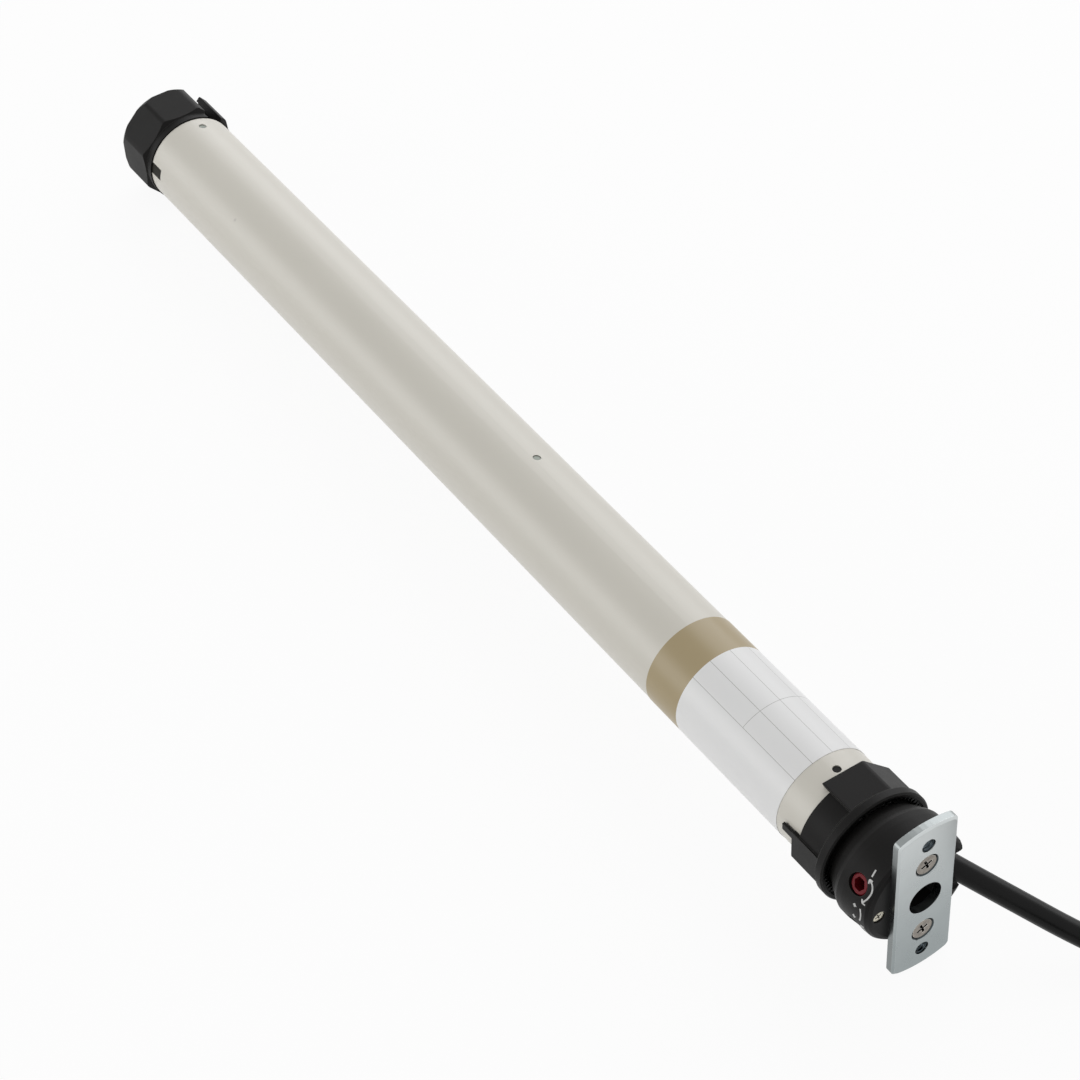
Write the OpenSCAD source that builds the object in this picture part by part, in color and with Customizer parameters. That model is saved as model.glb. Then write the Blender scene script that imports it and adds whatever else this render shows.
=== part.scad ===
// Tubular motor for a roller blind: a slim steel tube that slides into the
// blind's octagonal winding shaft. The head with its plate stays on the wall,
// the crown at the head and the wheel at the far end turn with the shaft.
// Origin: centre of the plate's outer face. The motor's axis runs along X,
// the tube lies toward -X, and +Z is up along the plate's long side.

/* [Tube] */
// Outside diameter of the steel tube
tube_d = 35; // [34:0.5:37]
// Wall of the steel tube
tube_wall = 0.8; // [0.6:0.1:1]
// Diameter of the rivet holes in the tube
rivet_d = 2.9; // [2:0.1:3.5]
// Angle of the rivets around the tube, from the cord's side
rivet_angle = 77.5; // [60:0.5:100]
// Length of the printed label
label_len = 68; // [40:1:80]
// Thickness of the printed label
label_t = 0.12; // [0.08:0.01:0.3]
// Part of the tube that the label wraps, in degrees
label_wrap = 300; // [200:5:340]

/* [Mounting plate] */
// Length of the zinc plated plate
plate_len = 63.2; // [58:0.2:68]
// Width of the plate
plate_w = 22; // [20:0.5:26]
// Thickness of the plate
plate_t = 3; // [2.5:0.1:4]
// Diameter of the plate's centre hole
centre_d = 12; // [10:0.5:12.5]
// Distance between the two threaded holes
tap_pitch = 48; // [46:0.5:50]
// Core diameter of the threaded holes
tap_d = 5; // [4:0.1:6]
// Distance between the two countersunk screws
screw_pitch = 30; // [28:0.5:32]
// Head diameter of the countersunk screws
screw_head_d = 7.4; // [6:0.1:8]
// Shank diameter of the countersunk screws
screw_d = 4; // [3:0.1:4.5]

/* [Head] */
// Largest diameter of the head's collar
collar_d = 40.4; // [39:0.2:42]
// Length of the collar
collar_len = 13.6; // [12:0.2:16]
// Length of the neck between the collar and the tube
neck_len = 17.4; // [16.5:0.1:19]
// Length of the head inside the tube
spigot_len = 12; // [8:0.5:16]
// Diameter of the limit adjusters
adjuster_d = 7.1; // [6:0.1:8]
// Hexagon socket of the adjusters, across flats
adjuster_key = 4; // [3:0.1:4.5]
// Angle of the two adjusters off the horizontal
adjuster_angle = 27.5; // [25:0.5:32]
// Depth of an adjuster in the head
adjuster_len = 9; // [7:0.5:10]

/* [Crown] */
// Outside diameter of the crown's round ring
crown_d = 36.8; // [36.6:0.1:37.4]
// Diameter of the crown's flange
crown_flange_d = 41.2; // [40:0.2:43]
// Length of the crown from its flange's face to its tabs' tips
crown_len = 17; // [15:0.5:19]
// Octagon of the crown's tabs, across flats
crown_flats = 37.2; // [37:0.1:38.4]
// Teeth of the ring gear inside the crown
crown_teeth = 60; // [60:1:60]
// Teeth of the two limit pinions
pinion_teeth = 24; // [24:1:24]

/* [Limit unit] */
// Length of the limit frame inside the tube
limit_len = 34; // [32:1:40]
// Travel of each limit nut to either side of the middle
nut_travel = 11; // [8:0.5:11]
// Diameter of the threaded spindles
spindle_d = 3; // [2.5:0.1:3.6]

/* [Motor] */
// Length of the run capacitor
cap_len = 64.5; // [50:1:75]
// Diameter of the run capacitor
cap_d = 28; // [24:0.5:30]
// Length of the stator's stack of sheets
stator_len = 120; // [90:1:130]
// Diameter of the rotor
rotor_d = 18.4; // [16:0.2:20]
// Air gap between rotor and stator
air_gap = 0.3; // [0.2:0.05:0.5]
// Diameter of the rotor's shaft
shaft_d = 6; // [5:0.1:7]
// Length of each end shield
shield_len = 12; // [10:0.5:15]
// Length of the brake's housing
brake_len = 32; // [28:1:38]
// How far the brake's armature lifts
brake_lift = 0.4; // [0.2:0.05:0.5]

/* [Gearbox] */
// Module of the planetary gears
gear_module = 0.5; // [0.5:0.01:0.5]
// Teeth of each sun gear
sun_teeth = 12; // [12:1:12]
// Teeth of each planet gear
planet_teeth = 21; // [21:1:21]
// Width of the planets in the first stage
planet_w = 14; // [10:0.5:16]
// Extra width of the planets in each later stage
planet_step = 3; // [1:0.5:4]
// Diameter of the planets' pins
pin_d = 3.2; // [2.4:0.1:4]
// Thickness of the carriers
carrier_t = 4; // [3:0.1:5]
// Diameter of the output shaft
output_d = 12; // [10:0.5:14]
// Length of the end cap that holds the output bush
end_cap_len = 30; // [24:1:36]

/* [Drive wheel] */
// Octagon of the drive wheel, across flats
wheel_flats = 36.6; // [36.2:0.1:38.4]
// Rounding of the octagon's corners
wheel_corner = 2.5; // [1:0.1:4]
// Length of the octagon
wheel_len = 17.8; // [14:0.5:24]
// Length of the round collar between the octagon and the tube
wheel_collar = 2.9; // [3:0.1:5]
// Width of the slot for the winding shaft's seam
seam_w = 9; // [7:0.5:10]
// Depth of the seam slot
seam_deep = 4.4; // [3:0.1:4.6]

/* [Cord] */
// Diameter of the cord
cord_d = 7.5; // [7.5:0.1:7.5]

/* [Hidden] */
$fn = 64;

// Clearances: fixed pieces in the tube, running fits, and free air
fit_gap = 0.1;
run_gap = 0.05;
free_gap = 0.3;

// Places along the axis, from the plate back to the tube's far end
plate_back = -plate_t;
collar_back = plate_back - collar_len;
tube_near = collar_back - neck_len;
spigot_end = tube_near - spigot_len;
limit_end = spigot_end - limit_len;
lead_room = 6;
cap_front = limit_end - lead_room;
cap_end = cap_front - cap_len;
shield_front = cap_end - lead_room;
stator_front = shield_front - shield_len;
stator_end = stator_front - stator_len;
brake_front = stator_end - shield_len;
brake_end = brake_front - brake_len;
damper_t = 4;
cover_front = brake_end - damper_t;
cover_t = 5;
gears_front = cover_front - cover_t;
stage_gap = 1;
function planet_len(k) = planet_w + planet_step * k;
function stage_len(k) = planet_len(k) + carrier_t + 2.5 * stage_gap;
function stage_x(k) = k == 0 ? gears_front - stage_gap : stage_x(k - 1) - stage_len(k - 1);
gears_end = stage_x(2) - stage_len(2);
tube_far = gears_end - end_cap_len;
wheel_near = tube_far - free_gap;
octagon_near = wheel_near - wheel_collar;
wheel_far = octagon_near - wheel_len;

// Radii that several pieces share
tube_r = tube_d / 2;
bore_r = tube_r - tube_wall;
inner_r = bore_r - fit_gap;
neck_r = tube_r - 1;
land_r = tube_r - 0.6;
cavity_r = inner_r - 3;

// Crown ring gear and its pinions
limit_module = 0.6;
crown_pitch_r = crown_teeth * limit_module / 2;
pinion_pitch_r = pinion_teeth * limit_module / 2;
spindle_r_at = crown_pitch_r - pinion_pitch_r;
crown_front = collar_back - 6.9;
crown_lip = 0.9;
teeth_front = crown_front - crown_lip;
teeth_w = 2.4;
teeth_hold = crown_pitch_r + 1.25 * limit_module + 0.3;
teeth_back = teeth_front - teeth_w;
pinion_play = 0.3;

// Planetary gears
sun_r = sun_teeth * gear_module / 2;
planet_r = planet_teeth * gear_module / 2;
ring_teeth = sun_teeth + 2 * planet_teeth;
planet_at = sun_r + planet_r;
carrier_r = ring_teeth * gear_module / 2 - 1.1;
pressure = 25;
flank_gap = 0.03;

// Limit nuts at the middle of their travel
nut_t = 4;
frame_wall = 3;
nut_mid = spigot_end - 1 - nut_travel - nut_t / 2;
rail_r = 12;
rail_at = 9;
seat_half = 0.8;

// Surface that the motor lies on: it touches the plate's lower edge and the
// drive wheel's lower flat, so it rises a little toward the far end
lie_angle = atan((plate_len - wheel_flats) / 2 / (plate_t / 2 - wheel_far - wheel_len / 2));

// The cord's free stretch, from the head to the coil
cord_route = [
  [-8, 13.4, -0.3], [0, 20.2, -6.1], [9.9, 28.8, -13.4], [19.8, 37.4, -20.6],
  [29.4, 44.6, -25.3], [39.9, 50.5, -27.8], [51.1, 54.9, -28.9], [62.7, 57.8, -29.5],
  [74.6, 59.1, -29.9], [88, 59.2, -30.1], [101, 59.2, -30.3], [113, 59.2, -30.5],
  [122.5, 59.2, -30.6]
];
cord_sides = 8;

// The coil: four layers that spiral in and out, seen from above clockwise
coil_sides = 6;
coil_rings = 24;
coil_inner = 32;
coil_pitch = 8.1;
coil_rise = 8;
coil_turns = 11 / 6;
coil_dip = 1.2;
coil_last = 0.15;
coil_outer = coil_inner + coil_pitch * coil_turns;
coil_period = coil_turns + 0.5;
coil_total = 3 * coil_period + coil_last;
tie_t = 0.8;
tie_w = 4.6;
tie_play = 0.1;
tie_angle = 300;

// Moves a shape drawn in Y and Z to the place x, with its height along +X
module at_x(x, y = 0, z = 0) {
  translate([x, y, z]) rotate([90, 0, 90]) children();
}

module slab(x_low, x_high) {
  at_x(x_low) linear_extrude(x_high - x_low) children();
}

module rod(x_low, x_high, r, y = 0, z = 0) {
  at_x(x_low, y, z) cylinder(h = x_high - x_low, r = r);
}

module pipe(x_low, x_high, r_out, r_in, y = 0, z = 0) {
  difference() {
    rod(x_low, x_high, r_out, y, z);
    rod(x_low - 1, x_high + 1, r_in, y, z);
  }
}

// A body of revolution about the motor's axis, from points of [radius, x]
module turned(points) {
  at_x(0) rotate_extrude() polygon(points);
}

// A sector of the plane seen along the axis, from one angle to another
module sector(from, to, r) {
  steps = ceil((to - from) / 30);
  polygon(concat([[0, 0]], [
    for (i = [0:steps])
      let (a = from + (to - from) * i / steps)
      [r * cos(a), r * sin(a)]
  ]));
}

// An octagon with flats parallel to Y and Z and rounded corners
function octagon(half, corner) = [
  for (k = [0:7])
    let (a = 22.5 + 45 * k, c = (half - corner) / cos(22.5))
    for (t = [-22.5:11.25:22.5])
      [c * cos(a) + corner * cos(a + t), c * sin(a) + corner * sin(a + t)]
];

// Involute teeth between two radii, one tooth centred on the first axis
function involute(a) = tan(a) * 180 / PI - a;
function half_tooth(teeth, pitch_r, r, thin) =
  90 / teeth - thin / pitch_r * 180 / PI + involute(pressure)
  - involute(acos(min(1, pitch_r * cos(pressure) / r)));
function gear_outline(teeth, module_mm, r_low, r_high, thin) =
  let (
    pitch_r = teeth * module_mm / 2,
    levels = [r_low, r_low + (r_high - r_low) * 0.4, r_low + (r_high - r_low) * 0.72, r_high]
  )
  [
    for (i = [0:teeth - 1], side = [-1, 1], k = [0:3])
      let (
        r = side < 0 ? levels[k] : levels[3 - k],
        a = 360 * i / teeth + side * half_tooth(teeth, pitch_r, r, thin)
      )
      [r * cos(a), r * sin(a)]
  ];

module outer_teeth(teeth, module_mm) {
  pitch_r = teeth * module_mm / 2;
  polygon(gear_outline(teeth, module_mm, pitch_r - 1.25 * module_mm,
    pitch_r + 0.95 * module_mm, flank_gap));
}

module inner_teeth(teeth, module_mm) {
  pitch_r = teeth * module_mm / 2;
  polygon(gear_outline(teeth, module_mm, pitch_r - 0.95 * module_mm,
    pitch_r + 1.25 * module_mm, -flank_gap));
}

// A tube through points, each ring square to the path
function unit(v) = v / norm(v);
function heading(path, i) =
  unit(path[min(i + 1, len(path) - 1)] - path[max(i - 1, 0)]);
function ring_at(p, along, r, sides) =
  let (
    side = unit(cross(along, [0, 0, 1])),
    up = cross(side, along)
  )
  [
    for (k = [0:sides - 1])
      let (a = 360 * k / sides)
      p + r * cos(a) * side + r * sin(a) * up
  ];
module swept_tube(path, first, last, r, sides) {
  n = len(path);
  rings = [
    for (i = [0:n - 1])
      let (along = i == 0 ? first : i == n - 1 ? last : heading(path, i))
      each ring_at(path[i], along, r, sides)
  ];
  faces = concat(
    [for (k = [1:sides - 2]) [0, k + 1, k]],
    [
      for (i = [0:n - 2], k = [0:sides - 1])
        let (a = i * sides + k, b = i * sides + (k + 1) % sides)
        each [[a, b, b + sides], [a, b + sides, a + sides]]
    ],
    [for (k = [1:sides - 2]) [(n - 1) * sides, (n - 1) * sides + k, (n - 1) * sides + k + 1]]
  );
  polyhedron(rings, faces, convexity = 8);
}

module tube() {
  color("#cfccc2") difference() {
    pipe(tube_far, tube_near, tube_r, bore_r);
    rivet_holes(bore_r - 1);
    at_x(tube_near - 9.1) rotate([0, 0, 89.6]) rotate([0, 90, 0])
      cylinder(h = tube_r + 1, d = rivet_d);
    key_notches(0);
  }
}

// Rivets through the tube: two into the stator and two into the end cap
rivet_places = [stator_front - stator_len * 0.345, tube_far + 5.5];

module rivet_holes(r_from) {
  for (x = rivet_places, turn = [0, 180])
    at_x(x) rotate([0, 0, rivet_angle + turn]) rotate([0, 90, 0])
      translate([0, 0, r_from]) cylinder(h = tube_r + 1 - r_from, d = rivet_d);
}

module fixing_rivets() {
  color("silver") for (x = rivet_places, turn = [0, 180])
    at_x(x) rotate([0, 0, rivet_angle + turn]) rotate([0, 90, 0])
      translate([0, 0, bore_r - 3]) cylinder(h = tube_wall + 2.7, d = rivet_d - 0.1);
}

// Open notches in the tube's far edge, for the end cap's keys
notch_w = 4.6;
notch_len = 6.6;
key_angle = 167;

module key_notches(gap) {
  for (turn = [0, 180])
    at_x(tube_far - 1) rotate([0, 0, key_angle + turn])
      translate([bore_r - 2 + gap, -notch_w / 2 + gap, 0])
        cube([4, notch_w - 2 * gap, notch_len + 1 - gap]);
}

module rating_label() {
  color("white") slab(-49.4 - label_len, -49.4) difference() {
    intersection() {
      circle(r = tube_r + label_t);
      sector(90 - label_wrap / 2, 90 + label_wrap / 2, tube_r * 3);
    }
    circle(r = tube_r);
  }
}

// The plate's outline: straight sides, ends round about the axis
plate_corner = 2;
function plate_outline(inset) =
  let (
    half = plate_w / 2 - inset,
    end_r = plate_len / 2 - inset,
    across = half - plate_corner,
    up = sqrt((end_r - plate_corner) ^ 2 - across ^ 2),
    lean = atan2(up, across),
    quarter = concat(
      [for (i = [0:4]) let (a = lean * i / 4) [across + plate_corner * cos(a), up + plate_corner * sin(a)]],
      [for (i = [1:5]) let (a = lean + (90 - lean) * i / 5) [end_r * cos(a), end_r * sin(a)]]
    ),
    n = len(quarter)
  )
  concat(
    quarter,
    [for (i = [1:n - 1]) [-quarter[n - 1 - i][0], quarter[n - 1 - i][1]]],
    [for (p = quarter) [-p[0], -p[1]]],
    [for (i = [1:n - 2]) [quarter[n - 1 - i][0], -quarter[n - 1 - i][1]]]
  );

module mounting_plate() {
  edge = 0.7;
  color("#c8cbcc") difference() {
    hull() {
      slab(-plate_t, -edge) polygon(plate_outline(0));
      slab(-edge, 0) polygon(plate_outline(edge));
    }
    rod(-plate_t - 1, 1, centre_d / 2);
    for (side = [-1, 1]) {
      rod(-plate_t - 1, 1, tap_d / 2, 0, side * tap_pitch / 2);
      rod(-plate_t - 1, 1, screw_d / 2 + 0.2, 0, side * screw_pitch / 2);
      at_x(-countersink, 0, side * screw_pitch / 2)
        cylinder(h = countersink + 0.01, r1 = screw_d / 2 + 0.2, r2 = screw_head_d / 2 + 0.7);
    }
  }
}

// Countersunk screws with a cross recess, facing +X
countersink = 2.7;
screw_sunk = 0.4;
module cross_screw(x_face, head_r, shank_r, head_h, shank_len, y, z) {
  difference() {
    union() {
      at_x(x_face - head_h, y, z) cylinder(h = head_h, r1 = shank_r, r2 = head_r);
      rod(x_face - head_h - shank_len, x_face - head_h, shank_r, y, z);
    }
    for (turn = [0, 90])
      at_x(x_face - head_h * 0.6, y, z) rotate([0, 0, 20 + turn])
        translate([-head_r * 0.55, -head_r * 0.12, 0])
          cube([head_r * 1.1, head_r * 0.24, head_h]);
  }
}

module plate_screws() {
  color("silver") for (side = [-1, 1])
    cross_screw(-screw_sunk, screw_head_d / 2, screw_d / 2, 2.2, 8, 0, side * screw_pitch / 2);
}

// The head: a moulded collar that flares from the neck, and a hollow spigot
head_front = plate_back;
function head_profile() = [
  [0, head_front], [collar_d / 2 - 2.8, head_front], [collar_d / 2 - 1.5, head_front - 0.5],
  [collar_d / 2 - 0.8, head_front - 1.5], [collar_d / 2 - 0.5, head_front - 4],
  [collar_d / 2, collar_back + 2.4], [collar_d / 2, collar_back],
  [collar_d / 2 - 0.4, collar_back - 1.2], [collar_d / 2 - 1.2, collar_back - 2.8],
  [neck_r + 1.9, collar_back - 4.2], [neck_r + 1.1, collar_back - 5.6],
  [neck_r + 0.4, collar_back - 7], [neck_r, crown_front - crown_lip],
  [neck_r, teeth_back - 0.4], [land_r, teeth_back - 0.8],
  [land_r, tube_near + 0.2], [inner_r, tube_near + 0.2], [inner_r, spigot_end],
  [0, spigot_end]
];
pocket_y = 5.2;
pocket_low = -9;
pocket_high = 8;
centre_pocket = 6;
pocket_flat = collar_d / 2 - 4;

module head_body() {
  color("#262626") {
    head_shell();
    at_x(tube_near - 9.1) rotate([0, 0, 89.6]) rotate([0, 90, 0])
      translate([0, 0, inner_r - 0.8]) cylinder(h = tube_wall + 0.6, d = rivet_d - 0.2);
  }
}

module head_shell() {
  difference() {
    turned(head_profile());
    rod(spigot_end - 1, collar_back - 0.4, cavity_r);
    rod(head_front - centre_pocket, head_front + 1, centre_d / 2 + 0.5);
    for (side = [-1, 1]) {
      rod(head_front - 10.5, head_front + 1, screw_d / 2 + 0.02, 0, side * screw_pitch / 2);
      rod(teeth_back - pinion_play, teeth_front + pinion_play, pinion_pitch_r + 1, 0,
        side * spindle_r_at);
      rod(collar_back - 0.5, collar_back + 3, spindle_d / 2 + run_gap, 0, side * spindle_r_at);
      adjuster_axis(side) cylinder(h = tube_r * 2, r = adjuster_d / 2 + run_gap);
    }
    rod(cover_x - 14, head_front + 1, cover_r + 0.02, cover_y, cover_z);
    at_x(cover_x - 1.4, cover_y, cover_z) cylinder(h = 1.4, r1 = cover_r, r2 = cover_head_r + 0.1);
    rod(cover_x - 0.01, head_front + 1, cover_head_r + 0.1, cover_y, cover_z);
    translate([collar_back + 0.8, pocket_y, pocket_low]) cube([20, 20, pocket_high - pocket_low]);
    translate([head_front - 7, pocket_flat, -tube_r]) cube([20, 20, 2 * tube_r]);
    rod(collar_back - 1, collar_back + 2, 2.6, 10.2, 0);
    pipe(seal_x - 0.9, seal_x + 0.9, inner_r + 1, inner_r - 1.4);
  }
}

// Small screw beside the plate that holds the head's cover
cover_y = 5.4 - collar_d / 2;
cover_z = -1.3;
cover_r = 1.1;
cover_head_r = 2.1;
cover_x = head_front - 0.4;

module cover_screw() {
  color("silver")
    cross_screw(cover_x, cover_head_r, cover_r, 1.4, 11, cover_y, cover_z);
}

// Moulded plug that holds the cord in the head's side pocket
cord_start = cord_route[0];
cord_along = unit(cord_route[1] - cord_route[0]);
module along_cord(p, v) {
  translate(p) rotate([0, acos(v[2]), atan2(v[1], v[0])]) children();
}

module cord_plug() {
  gap = 0.15;
  color("#1e1e1e") difference() {
    union() {
      translate([collar_back + 0.8 + gap, pocket_y + gap, pocket_low + gap])
        cube([3.4, pocket_flat - pocket_y - 2 * gap, pocket_high - pocket_low - 2 * gap]);
      along_cord(cord_start, cord_along) translate([0, 0, -5.5])
        cylinder(h = 5.5, r1 = 4.9, r2 = cord_d / 2 + 0.6);
    }
    translate([collar_back - 5, 0, -10]) cube([5.8 + gap, 30, 20]);
  }
}

seal_x = tube_near - 4;
seal_r = 0.7;
module spigot_seal() {
  color("#303030") translate([seal_x, 0, 0]) at_x(0) rotate_extrude()
    translate([bore_r - seal_r - 0.04, 0]) circle(r = seal_r, $fn = 24);
}

// Limit adjusters: hexagon sockets in the collar's side, 27 degrees either way
adjuster_x = -10;
module adjuster_axis(side) {
  at_x(adjuster_x) rotate([0, 0, 180 - side * adjuster_angle]) rotate([0, 90, 0])
    translate([0, 0, collar_d / 2 - 1 - adjuster_len]) children();
}

module adjuster(side) {
  adjuster_axis(side) difference() {
    union() {
      translate([0, 0, 0.3]) cylinder(h = adjuster_len - 0.9, r = adjuster_d / 2);
      translate([0, 0, adjuster_len - 0.6])
        cylinder(h = 0.6, r1 = adjuster_d / 2, r2 = adjuster_d / 2 - 0.5);
    }
    translate([0, 0, adjuster_len - 5])
      cylinder(h = 6, r = adjuster_key / 2 / cos(30), $fn = 6);
  }
}

module red_adjuster() {
  color("#a01c2a") adjuster(1);
}

module white_adjuster() {
  color("#e8e6dc") adjuster(-1);
}

// Crown: a ring that the winding shaft turns, with teeth inside for the limits
crown_back = crown_front - crown_len + 3.1;
tab_end = crown_front - crown_len;
hook_len = 4.6;

module crown() {
  ring_gap = run_gap + 0.03;
  flange_r = crown_flange_d / 2;
  color("#232323") union() {
    turned([
      [teeth_hold, crown_front], [flange_r - 0.5, crown_front], [flange_r, crown_front - 0.5],
      [flange_r, crown_front - 2.9], [flange_r - 0.9, crown_front - 3.8],
      [crown_d / 2, crown_front - 4.6], [crown_d / 2, crown_back],
      [tube_r + ring_gap, crown_back], [tube_r + ring_gap, tube_near + 0.4],
      [land_r + ring_gap, tube_near + 0.4], [land_r + ring_gap, teeth_back],
      [teeth_hold, teeth_back]
    ]);
    slab(teeth_back, teeth_front) difference() {
      circle(r = teeth_hold + 0.2);
      inner_teeth(crown_teeth, limit_module);
    }
    crown_tab(22.9, 112.1);
    crown_tab(168, 247.1);
    translate([tab_end - hook_len, -crown_flats / 2, 1]) cube([hook_len + 3, 0.95, 2.6]);
  }
}

// A tab on the crown: part of the octagon, from one angle to another
module crown_tab(from, to) {
  slab(tab_end, teeth_back - 0.2) difference() {
    intersection() {
      polygon(octagon(crown_flats / 2, 2));
      sector(from, to, crown_flats);
    }
    circle(r = tube_r + run_gap + 0.03);
  }
}

// Frame of the limit unit: two ends, two guide rails and two switch seats
rail_w = 6;
module limit_frame() {
  color("#3a3f44") difference() {
    union() {
      rod(limit_end, limit_end + frame_wall, inner_r);
      for (side = [-1, 1])
        slab(limit_end, spigot_end) intersection() {
          circle(r = inner_r);
          translate([side * (rail_at + rail_w / 2) - rail_w / 2, -rail_r]) square([rail_w, 2 * rail_r]);
        }
      slab(limit_end, limit_end + 20) square([2 * rail_at + 2, 2 * seat_half], center = true);
    }
    for (side = [-1, 1]) {
      rod(limit_end - 1, limit_end + frame_wall + 1, spindle_d / 2 + run_gap, 0,
        side * spindle_r_at);
      rod(limit_end - 1, limit_end + frame_wall + 1, 2, side * 6, 0);
    }
  }
}

// Spindle with its pinion; each turns two and a half times as fast as the crown
spindle_front = collar_back + 2.6;
spindle_back = limit_end + 0.5;
module spindle(side) {
  color("#b9b39a") {
    rod(spindle_back, teeth_back + 0.01, spindle_d / 2, 0, side * spindle_r_at);
    rod(teeth_front - 0.01, spindle_front, spindle_d / 2, 0, side * spindle_r_at);
    at_x(teeth_back, 0, side * spindle_r_at) linear_extrude(teeth_w)
      rotate([0, 0, side * 90]) outer_teeth(pinion_teeth, limit_module);
  }
}

module upper_spindle() {
  spindle(1);
}

module lower_spindle() {
  spindle(-1);
}

// Limit nut: runs along its spindle between the two rails
module limit_nut(side) {
  color("#d9d4c4") difference() {
    translate([nut_mid - nut_t / 2, run_gap - rail_at, side > 0 ? 8 : -13.6])
      cube([nut_t, 2 * rail_at - 2 * run_gap, 5.6]);
    rod(nut_mid - nut_t, nut_mid + nut_t, spindle_d / 2 + run_gap, 0, side * spindle_r_at);
  }
}

module upper_nut() {
  limit_nut(1);
}

module lower_nut() {
  limit_nut(-1);
}

// Microswitch with its lever beside the nut's path
module limit_switch(side) {
  lever_x = limit_end + frame_wall + 3.2;
  color("#1b1b1b") union() {
    translate([lever_x, -3, side > 0 ? seat_half : -6.3]) cube([12.8, 6, 6.3 - seat_half]);
    translate([lever_x + 2, -1.6, side > 0 ? 6.2 : -7.1]) cube([9, 3.2, 0.9]);
    for (k = [-1:1])
      translate([lever_x - 2, 1.8 * k - 0.3, side * 3.5 - 0.3]) cube([2.1, 0.6, 0.6]);
  }
}

module upper_switch() {
  limit_switch(1);
}

module lower_switch() {
  limit_switch(-1);
}

module run_capacitor() {
  color("#e4e1d8") union() {
    turned([
      [0, cap_front], [cap_d / 2 - 1.5, cap_front], [cap_d / 2, cap_front - 1.5],
      [cap_d / 2, cap_end + 1.5], [cap_d / 2 - 1.5, cap_end], [0, cap_end]
    ]);
    for (side = [-1, 1])
      rod(cap_front - 0.01, cap_front + 4, 0.8, side * 4, 0);
  }
}

module capacitor_cushions() {
  color("#4a4a4a") for (x = [cap_front - 9, cap_end + 5])
    pipe(x, x + 4, inner_r, cap_d / 2 + 0.05);
}

// End shields of the motor: webbed discs that hold the shaft's bushes
bush_r = shaft_d / 2 + 2.6;
bush_len = shield_len - 3.5;
module end_shield(x_low, x_high, stack_low) {
  web = 4;
  color("#9da2a6") difference() {
    union() {
      pipe(x_low, x_high, inner_r, inner_r - 2);
      rod(stack_low ? x_high - bush_len : x_low, stack_low ? x_high : x_low + bush_len,
        bush_r + 1.8);
      rod(stack_low ? x_high - web : x_low, stack_low ? x_high : x_low + web, inner_r - 1);
    }
    rod(x_low - 1, x_high + 1, bush_r + 0.03);
    for (k = [0:3])
      rod(x_low - 1, x_high + 1, 2.2, 12 * cos(45 + 90 * k), 12 * sin(45 + 90 * k));
  }
}

module front_shield() {
  end_shield(stator_front, shield_front, true);
}

module rear_shield() {
  end_shield(brake_front, stator_end, false);
}

module shaft_bushes() {
  color("#b08d57") for (x = [shield_front - bush_len, brake_front])
    pipe(x, x + bush_len, bush_r, shaft_d / 2 + run_gap);
}

// Stator: a stack of sheets with twelve slots around the rotor's bore
slots = 12;
slot_w = 3.4;
slot_in = rotor_d / 2 + air_gap + 0.9;
slot_out = inner_r - 1.8;
winding_over = shield_len - 4.6;
module stator_core() {
  color("#8b8d90") difference() {
    slab(stator_end, stator_front) difference() {
      circle(r = inner_r);
      circle(r = rotor_d / 2 + air_gap);
      for (k = [0:slots - 1])
        rotate(rivet_angle + 360 * (k + 0.5) / slots) translate([slot_in, -slot_w / 2])
          square([slot_out - slot_in, slot_w]);
    }
    rivet_holes(bore_r - 3.2);
  }
}

// Windings: copper in the slots, joined by a ring of end turns at each side
module stator_windings() {
  inset = 0.25;
  r_in = slot_in + 0.2;
  r_out = slot_out - inset - 0.4;
  color("#b4622d") union() {
    slab(stator_end - winding_over, stator_front + winding_over)
      for (k = [0:slots - 1])
        rotate(rivet_angle + 360 * (k + 0.5) / slots) translate([slot_in + inset, -slot_w / 2 + inset])
          square([r_out - slot_in - inset, slot_w - 2 * inset]);
    pipe(stator_front + 0.5, stator_front + winding_over - 0.5, r_out - 0.3, r_in + 0.5);
    pipe(stator_end - winding_over + 0.5, stator_end - 0.5, r_out - 0.3, r_in + 0.5);
  }
}

// Squirrel cage rotor on its stepped shaft
module rotor_core() {
  ring = 3;
  color("#a7a9ac") difference() {
    union() {
      rod(stator_end, stator_front, rotor_d / 2);
      rod(stator_end - ring, stator_front + ring, rotor_d / 2 - 1.2);
    }
    rod(stator_end - 5, stator_front + 5, shaft_d / 2);
  }
}

tip_r = 1.5;
module rotor_shaft() {
  color("#c4c6c8") union() {
    rod(brake_end + 4, shield_front + 2, shaft_d / 2);
    rod(stage_x(0) - planet_len(0) + 0.5, brake_end + 4.01, tip_r);
  }
}

// Brake: a spring presses the armature on a lined disc that turns with the rotor
brake_wall = 2.5;
friction_x = brake_end + 5;
disc_t = 4;
disc_play = 0.15;
armature_t = 4;
armature_x = friction_x + disc_t + 2 * disc_play;
brake_room_r = inner_r - brake_wall;
module brake_housing() {
  color("#85898c") difference() {
    rod(brake_end, brake_front, inner_r);
    rod(friction_x, brake_front + 1, brake_room_r);
    rod(brake_end - 1, brake_front, shaft_d / 2 + 0.6);
    for (k = [0:2])
      at_x(friction_x + disc_t) rotate([0, 0, 120 * k])
        translate([brake_room_r - 1, -2.2, 0]) cube([2.2, 4.4, brake_len]);
  }
}

module brake_disc() {
  color("#5a4a3a") difference() {
    union() {
      rod(friction_x + disc_play, friction_x + disc_play + disc_t, brake_room_r - 1);
      rod(friction_x + disc_play, friction_x + disc_t + armature_t + 4, shaft_d / 2 + 1.6);
    }
    rod(brake_end, brake_front, shaft_d / 2);
  }
}

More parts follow.
